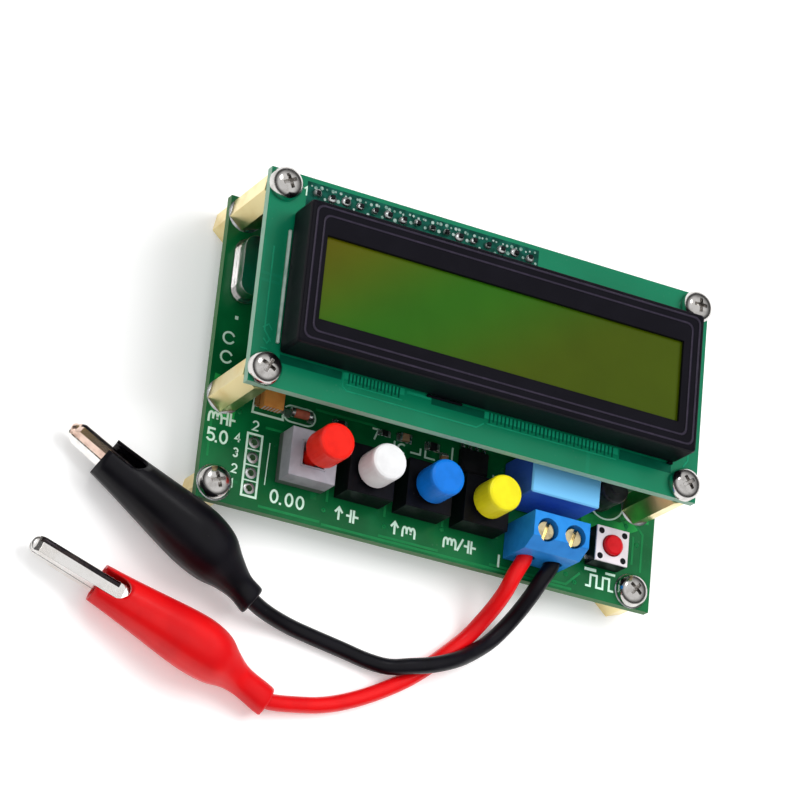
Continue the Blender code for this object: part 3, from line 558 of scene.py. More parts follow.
finishOf = {
    "main_board": "mainMask", "display_board": "displayMask", "display_bezel": "blackSteel",
    "display_glass": "displayFilm", "light_guide": "lightGuide", "contact_strip_front": "contactRubber",
    "contact_strip_rear": "contactRubber", "display_pin_header": "blackPlastic",
    "header_socket": "blackPlastic", "relay": "relayBlue", "crystal": "canTin",
    "coil_inductor": "coilEpoxy", "tantalum_capacitor": "orangeEpoxy", "clamp_diode": "diodeGlass",
    "microcontroller": "chipEpoxy", "usb_socket": "tinPlate", "terminal_housing": "terminalBlue",
    "function_switch_body": "blackPlastic", "function_switch_cover": "coverPlate",
    "function_button": "plungerRed", "zero_switch_body": "greySwitch",
    "high_c_switch_body": "blackSwitchPlastic", "high_l_switch_body": "blackSwitchPlastic",
    "mode_switch_body": "blackSwitchPlastic", "zero_button": "redCap", "high_c_button": "whiteCap",
    "high_l_button": "blueCap", "mode_button": "yellowCap",
}
finishBegins = {
    "spacer_": "brass", "foot_": "brass", "display_screw_": "nickelPlate", "board_screw_": "nickelPlate",
    "under_screw_": "nickelPlate", "terminal_screw_": "goldScrew", "terminal_clamp_": "tinPlate",
    "black_clip_moving": "copperyPlate", "black_clip_": "jawPlate", "red_clip_": "jawPlate",
}
for name, node in nodes.items():
    finish = finishOf.get(name) or next(
        (look for start, look in finishBegins.items() if name.startswith(start)), "blackPlastic")
    node.data.materials.clear()
    node.data.materials.append(looks[finish])
for name in ("black", "red"):
    leads[name][0].data.materials.clear()
    leads[name][0].data.materials.append(looks[name + "Vinyl"])
    leads[name][0].data.shade_smooth()
print("materials placed:", len(looks))


# Mesh helpers

def drawMesh(name, bm):
    # every shape is drawn in millimetres and kept in metres
    bmesh.ops.recalc_face_normals(bm, faces=bm.faces)
    bm.transform(Matrix.Scale(mm, 4))
    mesh = bpy.data.meshes.new(name)
    bm.to_mesh(mesh)
    bm.free()
    piece = bpy.data.objects.new(name, mesh)
    bpy.context.scene.collection.objects.link(piece)
    return piece


def keepMesh(name, bm, look, body="meter", smooth=False):
    piece = drawMesh(name, bm)
    if smooth:
        piece.data.shade_smooth()
        piece.data.set_sharp_from_angle(angle=math.radians(40))
    piece.data.materials.append(looks[look])
    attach(piece, body)
    return piece


def carve(piece, cutter, crossed=False):
    # cuts one mesh from another for good
    hole = piece.modifiers.new("hole", "BOOLEAN")
    hole.object = cutter
    hole.operation = "DIFFERENCE"
    hole.solver = "EXACT"
    hole.use_self = crossed
    bpy.context.view_layer.update()
    graph = bpy.context.evaluated_depsgraph_get()
    done = bpy.data.meshes.new_from_object(piece.evaluated_get(graph))
    piece.modifiers.clear()
    piece.data = done
    bpy.data.objects.remove(cutter, do_unlink=True)


def skin(bm, rings, capped=False, looped=False):
    # faces between one ring of corners and the next
    for ring, after in zip(rings, rings[1:] + (rings[:1] if looped else [])):
        for i in range(len(ring)):
            j = (i + 1) % len(ring)
            bm.faces.new((ring[i], ring[j], after[j], after[i]))
    if capped:
        bm.faces.new(rings[0])
        bm.faces.new(rings[-1])


def ringAt(bm, x, y, z, radius, sides):
    return [bm.verts.new((x + radius * math.cos(a), y + radius * math.sin(a), z))
            for a in (2 * math.pi * i / sides for i in range(sides))]


def addBox(bm, low, high):
    low, high = Vector(low), Vector(high)
    bmesh.ops.create_cube(bm, size=1, matrix=Matrix.Translation((low + high) / 2)
                          @ Matrix.Diagonal((*(high - low), 1)))


def roundOff(bm, offset, segments=2):
    bmesh.ops.bevel(bm, geom=bm.edges[:], offset=offset, segments=segments, affect="EDGES")


def addDisc(bm, centre, radius, height, sides=20):
    place = Matrix.Translation(Vector(centre) + Vector((0, 0, height / 2)))
    bmesh.ops.create_cone(bm, cap_ends=True, segments=sides, radius1=radius, radius2=radius, depth=height,
                          matrix=place)


def addRing(bm, centre, inner, outer, height, sides=24):
    x, y, z = centre
    profile = ((inner, 0), (outer, 0), (outer, height * 0.6), (outer - height * 0.5, height), (inner, height))
    skin(bm, [ringAt(bm, x, y, z + up, radius, sides) for radius, up in profile], looped=True)


def addDome(bm, centre, radius, height, sides=14, rows=4, under=False):
    # a drop of solder, standing on the centre, or hanging under it
    x, y, z = centre
    height = -height if under else height
    turns = [math.pi / 2 * row / rows for row in range(rows)]
    rings = [ringAt(bm, x, y, z + height * math.sin(t) ** 1.4, radius * math.cos(t) ** 0.7, sides) for t in turns]
    skin(bm, rings)
    tip = bm.verts.new((x, y, z + height))
    bm.faces.new(rings[0])
    for i in range(sides):
        bm.faces.new((rings[-1][i], rings[-1][(i + 1) % sides], tip))


def addStroke(bm, points, width, z, height=0.03):
    # an inked line, slightly raised, mitred at its corners
    height += 0.004 * (len(bm.faces) % 5)  # lines that cross never lie in one plane
    points = [Vector(p) for p in points]
    closed = len(points) > 3 and (points[0] - points[-1]).length < 1e-6
    if closed:
        points = points[:-1]
    count = len(points)
    sections = []
    for i, point in enumerate(points):
        before = (point - points[i - 1]).normalized() if i or closed else None
        after = (points[(i + 1) % count] - point).normalized() if i < count - 1 or closed else None
        along = ((before or after) + (after or before)).normalized()
        side = Vector((-along.y, along.x))
        reach = width / 2 / max(0.5, abs(side.dot(Vector((-(after or before).y, (after or before).x)))))
        cap = Vector((0, 0)) if before and after else along * (width * 0.3 if before else -width * 0.3)
        sections.append([bm.verts.new((*(point + cap + side * reach * k), z + up))
                         for k, up in ((1, 0), (1, height), (-1, height), (-1, 0))])
    skin(bm, sections, capped=not closed, looped=closed)


def arcPoints(x, y, radius, start, end, steps=14, squash=1.0):
    return [(x + radius * math.cos(math.radians(start + (end - start) * i / steps)),
             y + squash * radius * math.sin(math.radians(start + (end - start) * i / steps)))
            for i in range(steps + 1)]


# Printed legend on the main board

legendSet = {
    "width": 0.36,
    "header": {"x": (-33.2, -30.7), "y": (-13.2, -23.45)},
    "labelY": -23.35,
    "height": 1.95,
}


def digitStrokes(digit, x, y, height):
    # a plain rounded numeral, about 0.6 of its height wide
    h, r = height, height * 0.3
    if digit == "0":
        return [[(x + r + r * math.cos(a), y + h / 2 + (h / 2) * math.sin(a))
                 for a in (2 * math.pi * i / 16 for i in range(17))]]
    if digit == "1":
        return [[(x, y + 0.75 * h), (x + 0.25 * h, y + h), (x + 0.25 * h, y)]]
    if digit == "2":
        return [arcPoints(x + r, y + h - r, r, 160, -30, 8) + [(x, y), (x + 2 * r, y)]]
    if digit == "3":
        return [arcPoints(x + 0.8 * r, y + 0.75 * h, 0.25 * h, 150, -90, 8)
                + arcPoints(x + 0.8 * r, y + 0.25 * h, 0.25 * h, 90, -150, 8)]
    if digit == "4":
        return [[(x + 1.5 * r, y), (x + 1.5 * r, y + h), (x, y + 0.3 * h), (x + 2 * r, y + 0.3 * h)]]
    return [[(x + 1.9 * r, y + h), (x + 0.15 * r, y + h), (x + 0.1 * r, y + 0.56 * h)]
            + arcPoints(x + 0.85 * r, y + 0.31 * h, 0.31 * h, 100, -150, 9)]


def symbolStrokes(kind, x, y, s):
    # drawing symbols, all about s high, with their left end at x
    bumps = [arcPoints(0.2 + 0.37 * i, 0.42, 0.185, 180, 0, 8, 2.1) for i in range(3)]
    stems = [[(0.015 + 0.37 * i, 0.42), (0.015 + 0.37 * i, low)] for i, low in enumerate((0.0, 0.3, 0.3, 0.0))]
    shapes = {
        "capacitor": [[(0, 0.5), (0.35, 0.5)], [(0.35, 0), (0.35, 1)], [(0.62, 0), (0.62, 1)],
                      [(0.62, 0.5), (1, 0.5)]],
        "coil": [*bumps, *stems],
        "up": [[(0.3, 0), (0.3, 1)], [(0, 0.62), (0.3, 1), (0.6, 0.62)]],
        "slash": [[(0, 0), (0.45, 1)]],
        "wave": [[(0, 0), (0.4, 0), (0.4, 1), (1.0, 1), (1.0, 0), (1.6, 0), (1.6, 1), (2.2, 1), (2.2, 0),
                  (2.6, 0)]],
    }
    return [[(x + across * s, y + up * s) for across, up in stroke] for stroke in shapes[kind]]


def makeLegend():
    bm = bmesh.new()
    z, wide, s, y = boardTop + 0.01, legendSet["width"], legendSet["height"], legendSet["labelY"]
    left, right = legendSet["header"]["x"]
    rear, front = legendSet["header"]["y"]
    lines = [([(left, rear), (right, rear), (right, front), (left, front), (left, rear)], wide)]
    for i in range(1, 4):
        level = rear + (front - rear) * i / 4
        lines.append(([(left, level), (right, level)], wide * 0.6))
    lines.append(([(-29.3, -14.0), (-29.45, -20.9)], 0.16))
    for digit, place, height in (("4", (-35.25, -15.1), 1.35), ("3", (-35.25, -17.6), 1.35),
                                 ("2", (-35.25, -20.2), 1.35), ("1", (-35.25, -22.7), 1.35),
                                 ("2", (-32.5, -12.5), 1.5)):
        lines += [(stroke, 0.26) for stroke in digitStrokes(digit, *place, height)]
    # the supply note at the left edge, then one label in front of each switch
    for kind, x, level in (("coil", -40.1, -12.9), ("capacitor", -37.6, -12.9), ("5", -39.9, -16.0),
                           ("0", -37.8, -16.0), ("0", -28.2, y), ("0", -25.6, y), ("0", -23.7, y),
                           ("up", -16.9, y), ("capacitor", -14.9, y), ("up", -7.0, y), ("coil", -5.0, y),
                           ("coil", 2.4, y), ("slash", 4.95, y), ("capacitor", 6.2, y),
                           ("wave", 28.7, y - 0.2)):
        draw = digitStrokes if kind.isdigit() else symbolStrokes
        lines += [(stroke, wide) for stroke in draw(kind, x, level, s)]
    pill = arcPoints(-26.3, -8.2, 1.35, 90, 270) + arcPoints(-23.4, -8.2, 1.35, -90, 90)
    lines += [
        ([(-38.5, -16.0), (-38.35, -16.0)], wide), ([(-26.55, y), (-26.4, y)], wide),
        ([(12.5, -22.4), (12.5, -24.3)], wide), ([(28.4, -20.75), (30.3, -20.75)], 0.5),
        ([(32.3, -20.75), (33.9, -20.75)], 0.4),
        # outlines of the parts behind the switches
        ([(-32.6, -5.3), (-32.9, -9.6), (-27.6, -9.6), (-27.7, -8.9)], wide), ([*pill, pill[0]], 0.28),
        (arcPoints(31.3, -8.2, 3.4, -150, -20), 0.28), (arcPoints(-38.3, 1.45, 0.95, 30, 330), 0.34),
        (arcPoints(-38.35, -1.8, 0.95, 30, 330), 0.34), (arcPoints(-36.3, -8.9, 0.95, 30, 330), 0.34),
        ([(-37.5, 5.1), (-37.3, 5.1)], 0.6), ([(15.2, -6.1), (17.8, -6.1)], 0.2),
        ([(21.2, -6.1), (23.8, -6.1)], 0.2),
        # marks by the small parts there
        ([(-11.9, -6.9), (-10.9, -6.9), (-11.5, -8.6)], 0.32), ([(-9.2, -8.9), (-7.9, -8.9), (-7.9, -8.1)], 0.32),
        (arcPoints(-6.5, -9.0, 0.75, 60, 300), 0.32), ([(-4.9, -9.2), (-3.2, -9.2), (-3.2, -8.2)], 0.32),
        ([(-2.3, -8.3), (-2.3, -9.4), (-0.6, -9.4)], 0.32), ([(2.5, -6.6), (2.5, -8.6)], 0.32),
        ([(10.2, -9.3), (10.2, -11.3), (9.3, -11.3)], 0.32), ([(2.4, -11.0), (3.2, -11.0)], 0.32),
    ]
    for points, width in lines:
        addStroke(bm, points, width, z)
    keepMesh("boardLegend", bm, "ink")


makeLegend()


# Pads, solder and small parts

padSet = {"holeInner": 1.62, "holeOuter": 2.95, "viaOuter": 0.42}
boardHoles = [(-37.95, 22.7), (37.05, 22.7), (-37.95, -8.3), (37.05, -8.3), (-37.95, -22.67), (37.05, -22.67)]
displayHoles = boardHoles[:4]
switchPlaces = [(-23.8, -16.05), (-13.52, -16.05), (-3.24, -16.05), (7.04, -16.05)]
pinPitch = 2.54
pinPlaces = [(-32.45 + pinPitch * i, 22.7) for i in range(16)]


def makePads():
    bm = bmesh.new()
    thin = 0.035
    for x, y in boardHoles:
        addRing(bm, (x, y, boardTop), padSet["holeInner"], padSet["holeOuter"], thin)
    for x, y in displayHoles:
        addRing(bm, (x, y, displayTop), padSet["holeInner"], 2.6, thin)
    for i in range(4):
        addRing(bm, (-31.95, -14.5 - pinPitch * i, boardTop), 0.52, 0.98, 0.06)
    keepMesh("tinnedPads", bm, "solder", smooth=True)


def makeHeaderSolder():
    # one fillet round each display pin, above the display board, and drops under the main board
    bm = bmesh.new()
    for x, y in pinPlaces:
        size = random.uniform(0.62, 0.9)
        addDome(bm, (x + random.uniform(-0.15, 0.15), y + random.uniform(-0.2, 0.2), displayTop + 0.01), size,
                random.uniform(0.35, 0.7))
        addDome(bm, (x, y, boardUnder), 0.8, 0.8, under=True)
    drops = [(x + 2.3 * side, y + row, 0.8, 0.7) for x, y in switchPlaces for side in (-1, 1)
             for row in (-2.0, 0.0, 2.0)]
    drops += [(15.7, -19.85, 1.2, 1.0), (20.7, -19.85, 1.2, 1.0)]
    drops += [(x, y, 0.8, 0.7) for x, y in ((29.75, -6.9), (29.75, -9.5), (-36.9, 10.6), (-36.9, 15.5))]
    drops += [(18.4 + 5.0 * side, -12.9 + 2.0 * row, 0.75, 0.7) for side in (-1, 1) for row in range(4)]
    for x, y, radius, height in drops:
        addDome(bm, (x, y, boardUnder), radius, height, under=True)
    keepMesh("solderDrops", bm, "solder", smooth=True)


smallPartSet = [
    # x, y, length, width, height, along X?, look
    (-9.9, -7.3, 1.6, 0.85, 0.55, True, "chipEpoxy"), (-6.3, -7.2, 2.0, 1.25, 0.8, True, "ceramicTan"),
    (-1.2, -7.4, 2.0, 1.25, 0.6, True, "chipEpoxy"), (0.9, -9.2, 2.0, 1.25, 0.8, False, "ceramicTan"),
    (-17.8, -7.9, 2.0, 1.25, 0.6, True, "chipEpoxy"),
    (-20.5, 0.6, 2.0, 1.25, 0.8, False, "ceramicTan"), (-17.0, 2.4, 2.0, 1.25, 0.6, False, "chipEpoxy"),
    (6.5, 3.4, 2.0, 1.25, 0.8, False, "ceramicTan"), (11.0, 2.0, 2.0, 1.25, 0.6, True, "chipEpoxy"),
    (25.0, 6.0, 2.0, 1.25, 0.8, True, "ceramicTan"), (29.0, 9.4, 2.0, 1.25, 0.6, False, "chipEpoxy"),
    (-28.5, 9.0, 2.0, 1.25, 0.8, True, "ceramicTan"), (-28.5, 14.5, 2.0, 1.25, 0.6, True, "chipEpoxy"),
    (35.8, 3.2, 2.0, 1.25, 0.6, False, "ceramicTan"), (34.6, -4.1, 1.6, 0.85, 0.5, True, "chipEpoxy"),
]


def makeSmallParts():
    # bodies in their own stuff, and metal ends that stand on pads
    for look in ("chipEpoxy", "ceramicTan"):
        bm = bmesh.new()
        for x, y, length, width, height, flat, kind in smallPartSet:
            if kind == look:
                half = Vector((length * 0.32, width / 2, 0) if flat else (width / 2, length * 0.32, 0))
                centre = Vector((x, y, boardTop + 0.08))
                addBox(bm, centre - half, centre + half + Vector((0, 0, height)))
        roundOff(bm, 0.07, 1)
        keepMesh("smallParts_" + look, bm, look)
    bm = bmesh.new()
    for x, y, length, width, height, flat, kind in smallPartSet:
        for end in (-1, 1):
            away = length * 0.41 * end
            centre = Vector((x + (away if flat else 0), y + (0 if flat else away), boardTop + 0.05))
            half = Vector((length * 0.1, width / 2, 0) if flat else (width / 2, length * 0.1, 0))
            addBox(bm, centre - half, centre + half + Vector((0, 0, height + 0.03)))
            foot = Vector((0.55, width * 0.55) if flat else (width * 0.55, 0.55))
            addBox(bm, (*(centre.xy - foot), boardTop + 0.005), (*(centre.xy + foot), boardTop + 0.12))
    roundOff(bm, 0.04, 1)
    keepMesh("smallPartEnds", bm, "solder")


def makeFinePads():
    # end caps and pads of the orange capacitor and the glass diode
    bm = bmesh.new()
    z = boardTop + 0.005
    for x, y, w, d in ((-32.3, -7.4, 1.0, 2.4), (-28.0, -7.4, 1.0, 2.4), (-27.0, -8.2, 1.1, 1.6),
                       (-22.9, -8.2, 1.1, 1.6)):
        addBox(bm, (x - w / 2, y - d / 2, z), (x + w / 2, y + d / 2, z + 0.07))
    roundOff(bm, 0.03, 1)
    for x in (-26.45, -23.45):
        place = Matrix.Translation((x, -8.2, boardTop + 0.85)) @ Matrix.Rotation(math.pi / 2, 4, "Y")
        bmesh.ops.create_cone(bm, cap_ends=True, segments=20, radius1=0.79, radius2=0.79, depth=0.55,
                              matrix=place)
    keepMesh("partPads", bm, "solder", smooth=True)


capacitorSet = {"stripes": 6, "stripe": 0.2}


def makeCapacitorStripes():
    # printed bars down the front of the orange capacitor
    low, high = boxOf("tantalum_capacitor")
    bm = bmesh.new()
    for i in range(capacitorSet["stripes"]):
        x = low.x + (high.x - low.x) * (i + 0.7) / (capacitorSet["stripes"] + 0.4)
        half = capacitorSet["stripe"] / 2
        addBox(bm, (x - half, low.y - 0.03, boardTop + 0.25), (x + half, low.y, high.z - 0.25))
    keepMesh("capacitorStripes", bm, "coverPlate")


def makeVias():
    bm = bmesh.new()
    spots = [(-34.0, -6.2), (-35.0, -10.2), (-19.0, -22.5), (-9.0, -10.3), (-8.3, -22.6), (1.9, -20.6),
             (1.9, -12.6), (11.9, -8.0), (11.9, -19.4), (25.8, -12.2), (26.6, -23.6), (24.9, -22.6),
             (35.4, -11.8), (37.6, -14.6), (35.6, -18.6), (36.2, 1.0), (33.3, -2.0), (-18.6, -11.0)]
    for x, y in spots:
        addRing(bm, (x, y, boardTop), 0.14, padSet["viaOuter"], 0.03, sides=12)
    keepMesh("vias", bm, "mainTrack", smooth=True)


trackSet = {
    "mainTrack": {"a": (0.008, 0.215, 0.060), "b": (0.006, 0.18, 0.050), "rough": (0.3, 0.4)},
    "brightTrack": {"a": (0.020, 0.36, 0.075), "b": (0.006, 0.21, 0.050), "rough": (0.3, 0.4), "patch": 300.0},
    "displayTrack": {"a": (0.006, 0.30, 0.155), "b": (0.003, 0.26, 0.130), "rough": (0.3, 0.4)},
    "headerShadow": {"a": (0.0, 0.040, 0.028), "b": (0.006, 0.095, 0.066), "rough": (0.3, 0.45), "patch": 800.0,
                     "shine": 0.1},
    "fleckTin": {"a": (0.40, 0.52, 0.48), "b": (0.10, 0.24, 0.19), "rough": (0.3, 0.5), "patch": 900.0},
    "displayShadow": {"a": (0.0, 0.070, 0.038), "b": (0.0, 0.088, 0.048), "rough": (0.3, 0.4), "shine": 0.1},
}
looks |= {name: makeFinish(name, "plastic", finish) for name, finish in trackSet.items()}


def makeMainTracks():
    z = boardTop + 0.004
    runs = [
        [(-39.6, -18.5), (-39.6, -12.0), (-38.8, -11.2)], [(-30.2, -11.6), (-21.0, -11.6), (-19.2, -9.8)],
        [(-30.0, -24.6), (-19.6, -24.6)], [(-19.0, -24.9), (26.0, -24.9)],
        [(-9.0, -24.3), (1.4, -24.3)], [(11.0, -24.3), (25.0, -24.3), (27.4, -21.9)],
        [(11.9, -19.4), (11.9, -13.0)], [(-18.6, -20.9), (-18.6, -11.0)], [(-8.4, -20.9), (-8.4, -10.6)],
        [(1.9, -20.6), (1.9, -12.6)], [(26.2, -20.4), (26.2, -12.2), (27.2, -11.2)],
        [(35.4, -18.6), (35.4, -11.8), (33.8, -10.2)], [(36.9, -18.0), (36.9, -13.4)],
        [(38.6, -19.0), (38.6, -12.6), (36.4, -10.4)], [(-22.0, -6.4), (-12.0, -6.4), (-10.6, -7.0)],
    ]
    # wide patches of a brighter green beside the middle spacers
    patches = [
        ([(27.6, -12.4), (34.4, -12.6), (36.6, -11.4)], 2.2), ([(35.2, -9.6), (38.8, -9.4)], 2.4),
        ([(-39.4, -11.0), (-36.4, -11.2)], 2.0), ([(-39.6, -8.6), (-39.4, -5.2)], 1.0),
    ]
    for name, look, lines in (("mainTracks", "mainTrack", [(run, 0.42) for run in runs]),
                              ("brightGreenPatches", "brightTrack", patches)):
        bm = bmesh.new()
        for points, width in lines:
            addStroke(bm, points, width, z, height=0.012)
        keepMesh(name, bm, look)


def makeDisplayTracks():
    # combs of fine tracks in front of the frame, and the row beside the header
    bm, teeth, lines = bmesh.new(), bmesh.new(), []
    z = displayTop + 0.004
    for start, count, pitch in ((-23.6, 15, 0.62), (1.2, 33, 0.7)):
        for i in range(count):
            x = start + pitch * i
            addStroke(teeth, [(x, -5.3), (x, -6.85 + 0.25 * (i % 2))], 0.26, z + 0.02, height=0.02)
        lines += [([(start - 0.6, -5.75), (start + pitch * count, -5.75)], 1.1),
                  ([(start - 0.4, -7.15), (start + pitch * count, -7.15)], 0.2)]
    lines.append(([(-24.6, -5.35), (-24.6, -7.6), (-23.9, -8.2), (-1.0, -8.2), (0.2, -7.3)], 0.22))
    lines += [([(x, y - 1.0), (x, y - 2.4), (x + (0.7 if i % 2 else -0.5), y - 3.2)], 0.3)
              for i, (x, y) in enumerate(pinPlaces)]
    lines += [([(-38.6, 12.0), (-38.6, -2.0), (-37.4, -3.6)], 0.26),
              ([(37.6, 14.0), (37.6, -4.0), (36.8, -5.2)], 0.26), ([(-13.4, -5.6), (-9.4, -5.6)], 0.5)]
    for points, width in lines:
        addStroke(bm, points, width, z, height=0.015)
    keepMesh("displayTracks", bm, "displayTrack")
    keepMesh("displayTeeth", teeth, "displayShadow")
    bm = bmesh.new()
    for x0, x1, y0, y1 in ((-35.6, -24.9, -6.6, -5.22), (-9.2, 0.2, -6.5, -5.22), (24.9, 34.6, -6.9, -5.22)):
        addBox(bm, (x0, y0, displayTop + 0.001), (x1, y1, displayTop + 0.003))
    keepMesh("displayDarkStrips", bm, "displayShadow")
    # the header's bare strip, with flecks of solder and flux round the pins
    bm = bmesh.new()
    addBox(bm, (-34.2, 18.75, displayTop + 0.001), (7.4, 24.5, displayTop + 0.003))
    keepMesh("headerStrip", bm, "headerShadow")
    bm = bmesh.new()
    for x, y in pinPlaces:
        for step in (-0.9, 0.0, 0.9):
            spot = (x + step + random.uniform(-0.3, 0.3), y + random.uniform(0.9, 1.3), z)
            addDisc(bm, spot, random.uniform(0.16, 0.34), 0.04, sides=7)
        spot = (x + pinPitch / 2 + random.uniform(-0.2, 0.2), y + random.uniform(-0.9, 0.2), z)
        addDisc(bm, spot, random.uniform(0.2, 0.36), 0.04, sides=7)
    keepMesh("headerFlecks", bm, "fleckTin")


def makeDisplayLegend():
    bm = bmesh.new()
    z = displayTop + 0.02
    for i, (x, y) in enumerate(pinPlaces):
        if i % 3 == 1:
            addStroke(bm, [(x - 0.5, y - 1.9), (x + 0.5, y - 1.9)], 0.3, z)
        if i in (2, 5, 6, 11):
            addStroke(bm, arcPoints(x + 1.2, y - 2.6, 0.5, 200, 340, 6), 0.28, z)
    for stroke in digitStrokes("1", -34.6, 22.0, 1.4):
        addStroke(bm, stroke, 0.24, z)
    keepMesh("displayLegend", bm, "ink")
    bm = bmesh.new()
    for run in ([(-38.9, -1.6), (-38.0, -0.9), (-37.4, -1.7)], [(-38.6, -3.4), (-38.0, -4.1), (-37.5, -3.2)],
                [(-38.9, -5.0), (-37.9, -5.0)]):
        addStroke(bm, run, 0.22, z)
    keepMesh("displayMarks", bm, "displayTrack")


dropSet = {"places": [(-18.0, 6.0), (12.0, 6.0)], "radius": 7.5, "height": 1.5, "tracks": 24}


def makeUnderside():
    # resin drops over the two driver dies under the display board, and the tracks that fan out of them
    drops, fans = bmesh.new(), bmesh.new()
    for x, y in dropSet["places"]:
        addDome(drops, (x, y, displayUnder), dropSet["radius"], dropSet["height"], 32, 8, under=True)
        for i in range(dropSet["tracks"]):
            a = 2 * math.pi * i / dropSet["tracks"]
            near = (x + 7.9 * math.cos(a), y + 7.9 * math.sin(a))
            far = (x + 11.0 * math.cos(a), y + 10.0 * math.sin(a))
            addStroke(fans, [near, far], 0.3, displayUnder - 0.02, height=0.018)
    keepMesh("resinDrops", drops, "coilEpoxy", smooth=True)
    keepMesh("underTracks", fans, "displayTrack")


makePads()
makeHeaderSolder()
makeSmallParts()
makeFinePads()
makeCapacitorStripes()
makeVias()
makeMainTracks()
makeDisplayTracks()
makeDisplayLegend()
makeUnderside()
print("boards dressed")


# Details of the bigger parts

def makeFunctionRivets():
    bm = bmesh.new()
    low, high = boxOf("function_switch_cover")
    for x in (low.x + 0.85, high.x - 0.85):
        for y in (low.y + 0.85, high.y - 0.85):
            addDome(bm, (x, y, high.z - 0.02), 0.55, 0.18)
    keepMesh("functionRivets", bm, "blackPlastic", smooth=True)
    bm = bmesh.new()
    low, high = boxOf("function_switch_body")
    for x, out in ((low.x, -1), (high.x, 1)):
        for y in (low.y + 0.9, high.y - 0.9):
            addBox(bm, (min(x, x + out * 0.75), y - 0.35, boardTop + 0.01),
                   (max(x, x + out * 0.75), y + 0.35, boardTop + 1.3))
    roundOff(bm, 0.06)
    keepMesh("functionLegs", bm, "tinPlate")


def makeSwitchLegs():
    bm = bmesh.new()
    for x, y in switchPlaces:
        for side in (-1, 1):
            for row in (-2.0, 0.0, 2.0):
                addBox(bm, (x + 2.3 * side - 0.3, y + row - 0.12, boardUnder - 1.4),
                       (x + 2.3 * side + 0.3, y + row + 0.12, boardUnder + 0.2))
    keepMesh("switchLegs", bm, "tinPlate")


def makeSwitchRims():
    # raised guide round each switch's well, in the body's own plastic
    inner, outer, tall = 1.88, 2.15, 0.12
    for (x, y), switch in zip(switchPlaces, ("zero", "high_c", "high_l", "mode")):
        top = boxOf(switch + "_switch_body")[1].z
        bm = bmesh.new()
        for a, b in (((-outer, -outer), (outer, -inner)), ((-outer, inner), (outer, outer)),
                     ((-outer, -inner), (-inner, inner)), ((inner, -inner), (outer, inner))):
            addBox(bm, (x + a[0], y + a[1], top), (x + b[0], y + b[1], top + tall))
        keepMesh(switch + "SwitchRim", bm, "greySwitch" if switch == "zero" else "blackSwitchPlastic")


def makeUsbInside():
    low, high = boxOf("usb_socket")
    bm = bmesh.new()
    mid = (low + high) / 2
    addBox(bm, (mid.x - 2.4, high.y - 6.4, mid.z - 0.1),
           (mid.x + 2.4, high.y - 1.2, mid.z + 0.6))
    roundOff(bm, 0.1)
    keepMesh("usbTongue", bm, "blackPlastic")
    bm = bmesh.new()
    for i in range(5):
        x = mid.x + (i - 2) * 0.8
        addBox(bm, (x - 0.18, high.y - 6.0, mid.z - 0.18),
               (x + 0.18, high.y - 1.6, mid.z - 0.08))
    keepMesh("usbContacts", bm, "contactGold")


chipSet = {"place": (6.0, -8.5)}


def makeChips():
    # legs of the microcontroller, and of the comparator beside it
    low, high = boxOf("microcontroller")
    x, y = chipSet["place"]
    bm = bmesh.new()

    def addLeg(across, edge, out, steps):
        for near, far, bottom, top in steps:
            ends = sorted((edge + out * near, edge + out * far))
            addBox(bm, (across - 0.2, ends[0], boardTop + bottom), (across + 0.2, ends[1], boardTop + top))

    for i in range(14):
        across = low.x + 0.9 + (high.x - low.x - 1.8) * i / 13
        for edge, out in ((low.y, -1), (high.y, 1)):
            addLeg(across, edge, out, ((0, 0.6, 0.7, 0.9), (0.5, 0.7, 0.02, 0.9), (0.5, 1.2, 0.02, 0.2)))
    for i in range(4):
        for out in (-1, 1):
            addLeg(x + (i - 1.5) * 1.27, y, out, ((1.9, 2.5, 0.62, 0.84), (2.4, 2.6, 0.03, 0.84),
                                                  (2.4, 3.1, 0.03, 0.22)))
    keepMesh("chipLegs", bm, "tinPlate")
    bm = bmesh.new()
    addBox(bm, (x - 2.45, y - 1.95, boardTop + 0.15), (x + 2.45, y + 1.95, boardTop + 1.5))
    roundOff(bm, 0.18)
    keepMesh("comparatorChip", bm, "chipEpoxy")
    bm = bmesh.new()
    addDisc(bm, (x - 1.8, y - 1.3, boardTop + 1.49), 0.3, 0.03)
    addDisc(bm, (low.x + 1.2, low.y + 1.2, high.z - 0.03), 0.5, 0.05)
    keepMesh("chipMarks", bm, "blackPlastic")


bezelSet = {"ribs": (0.8, 2.1), "ribWidth": 0.34, "ribHeight": 0.14}


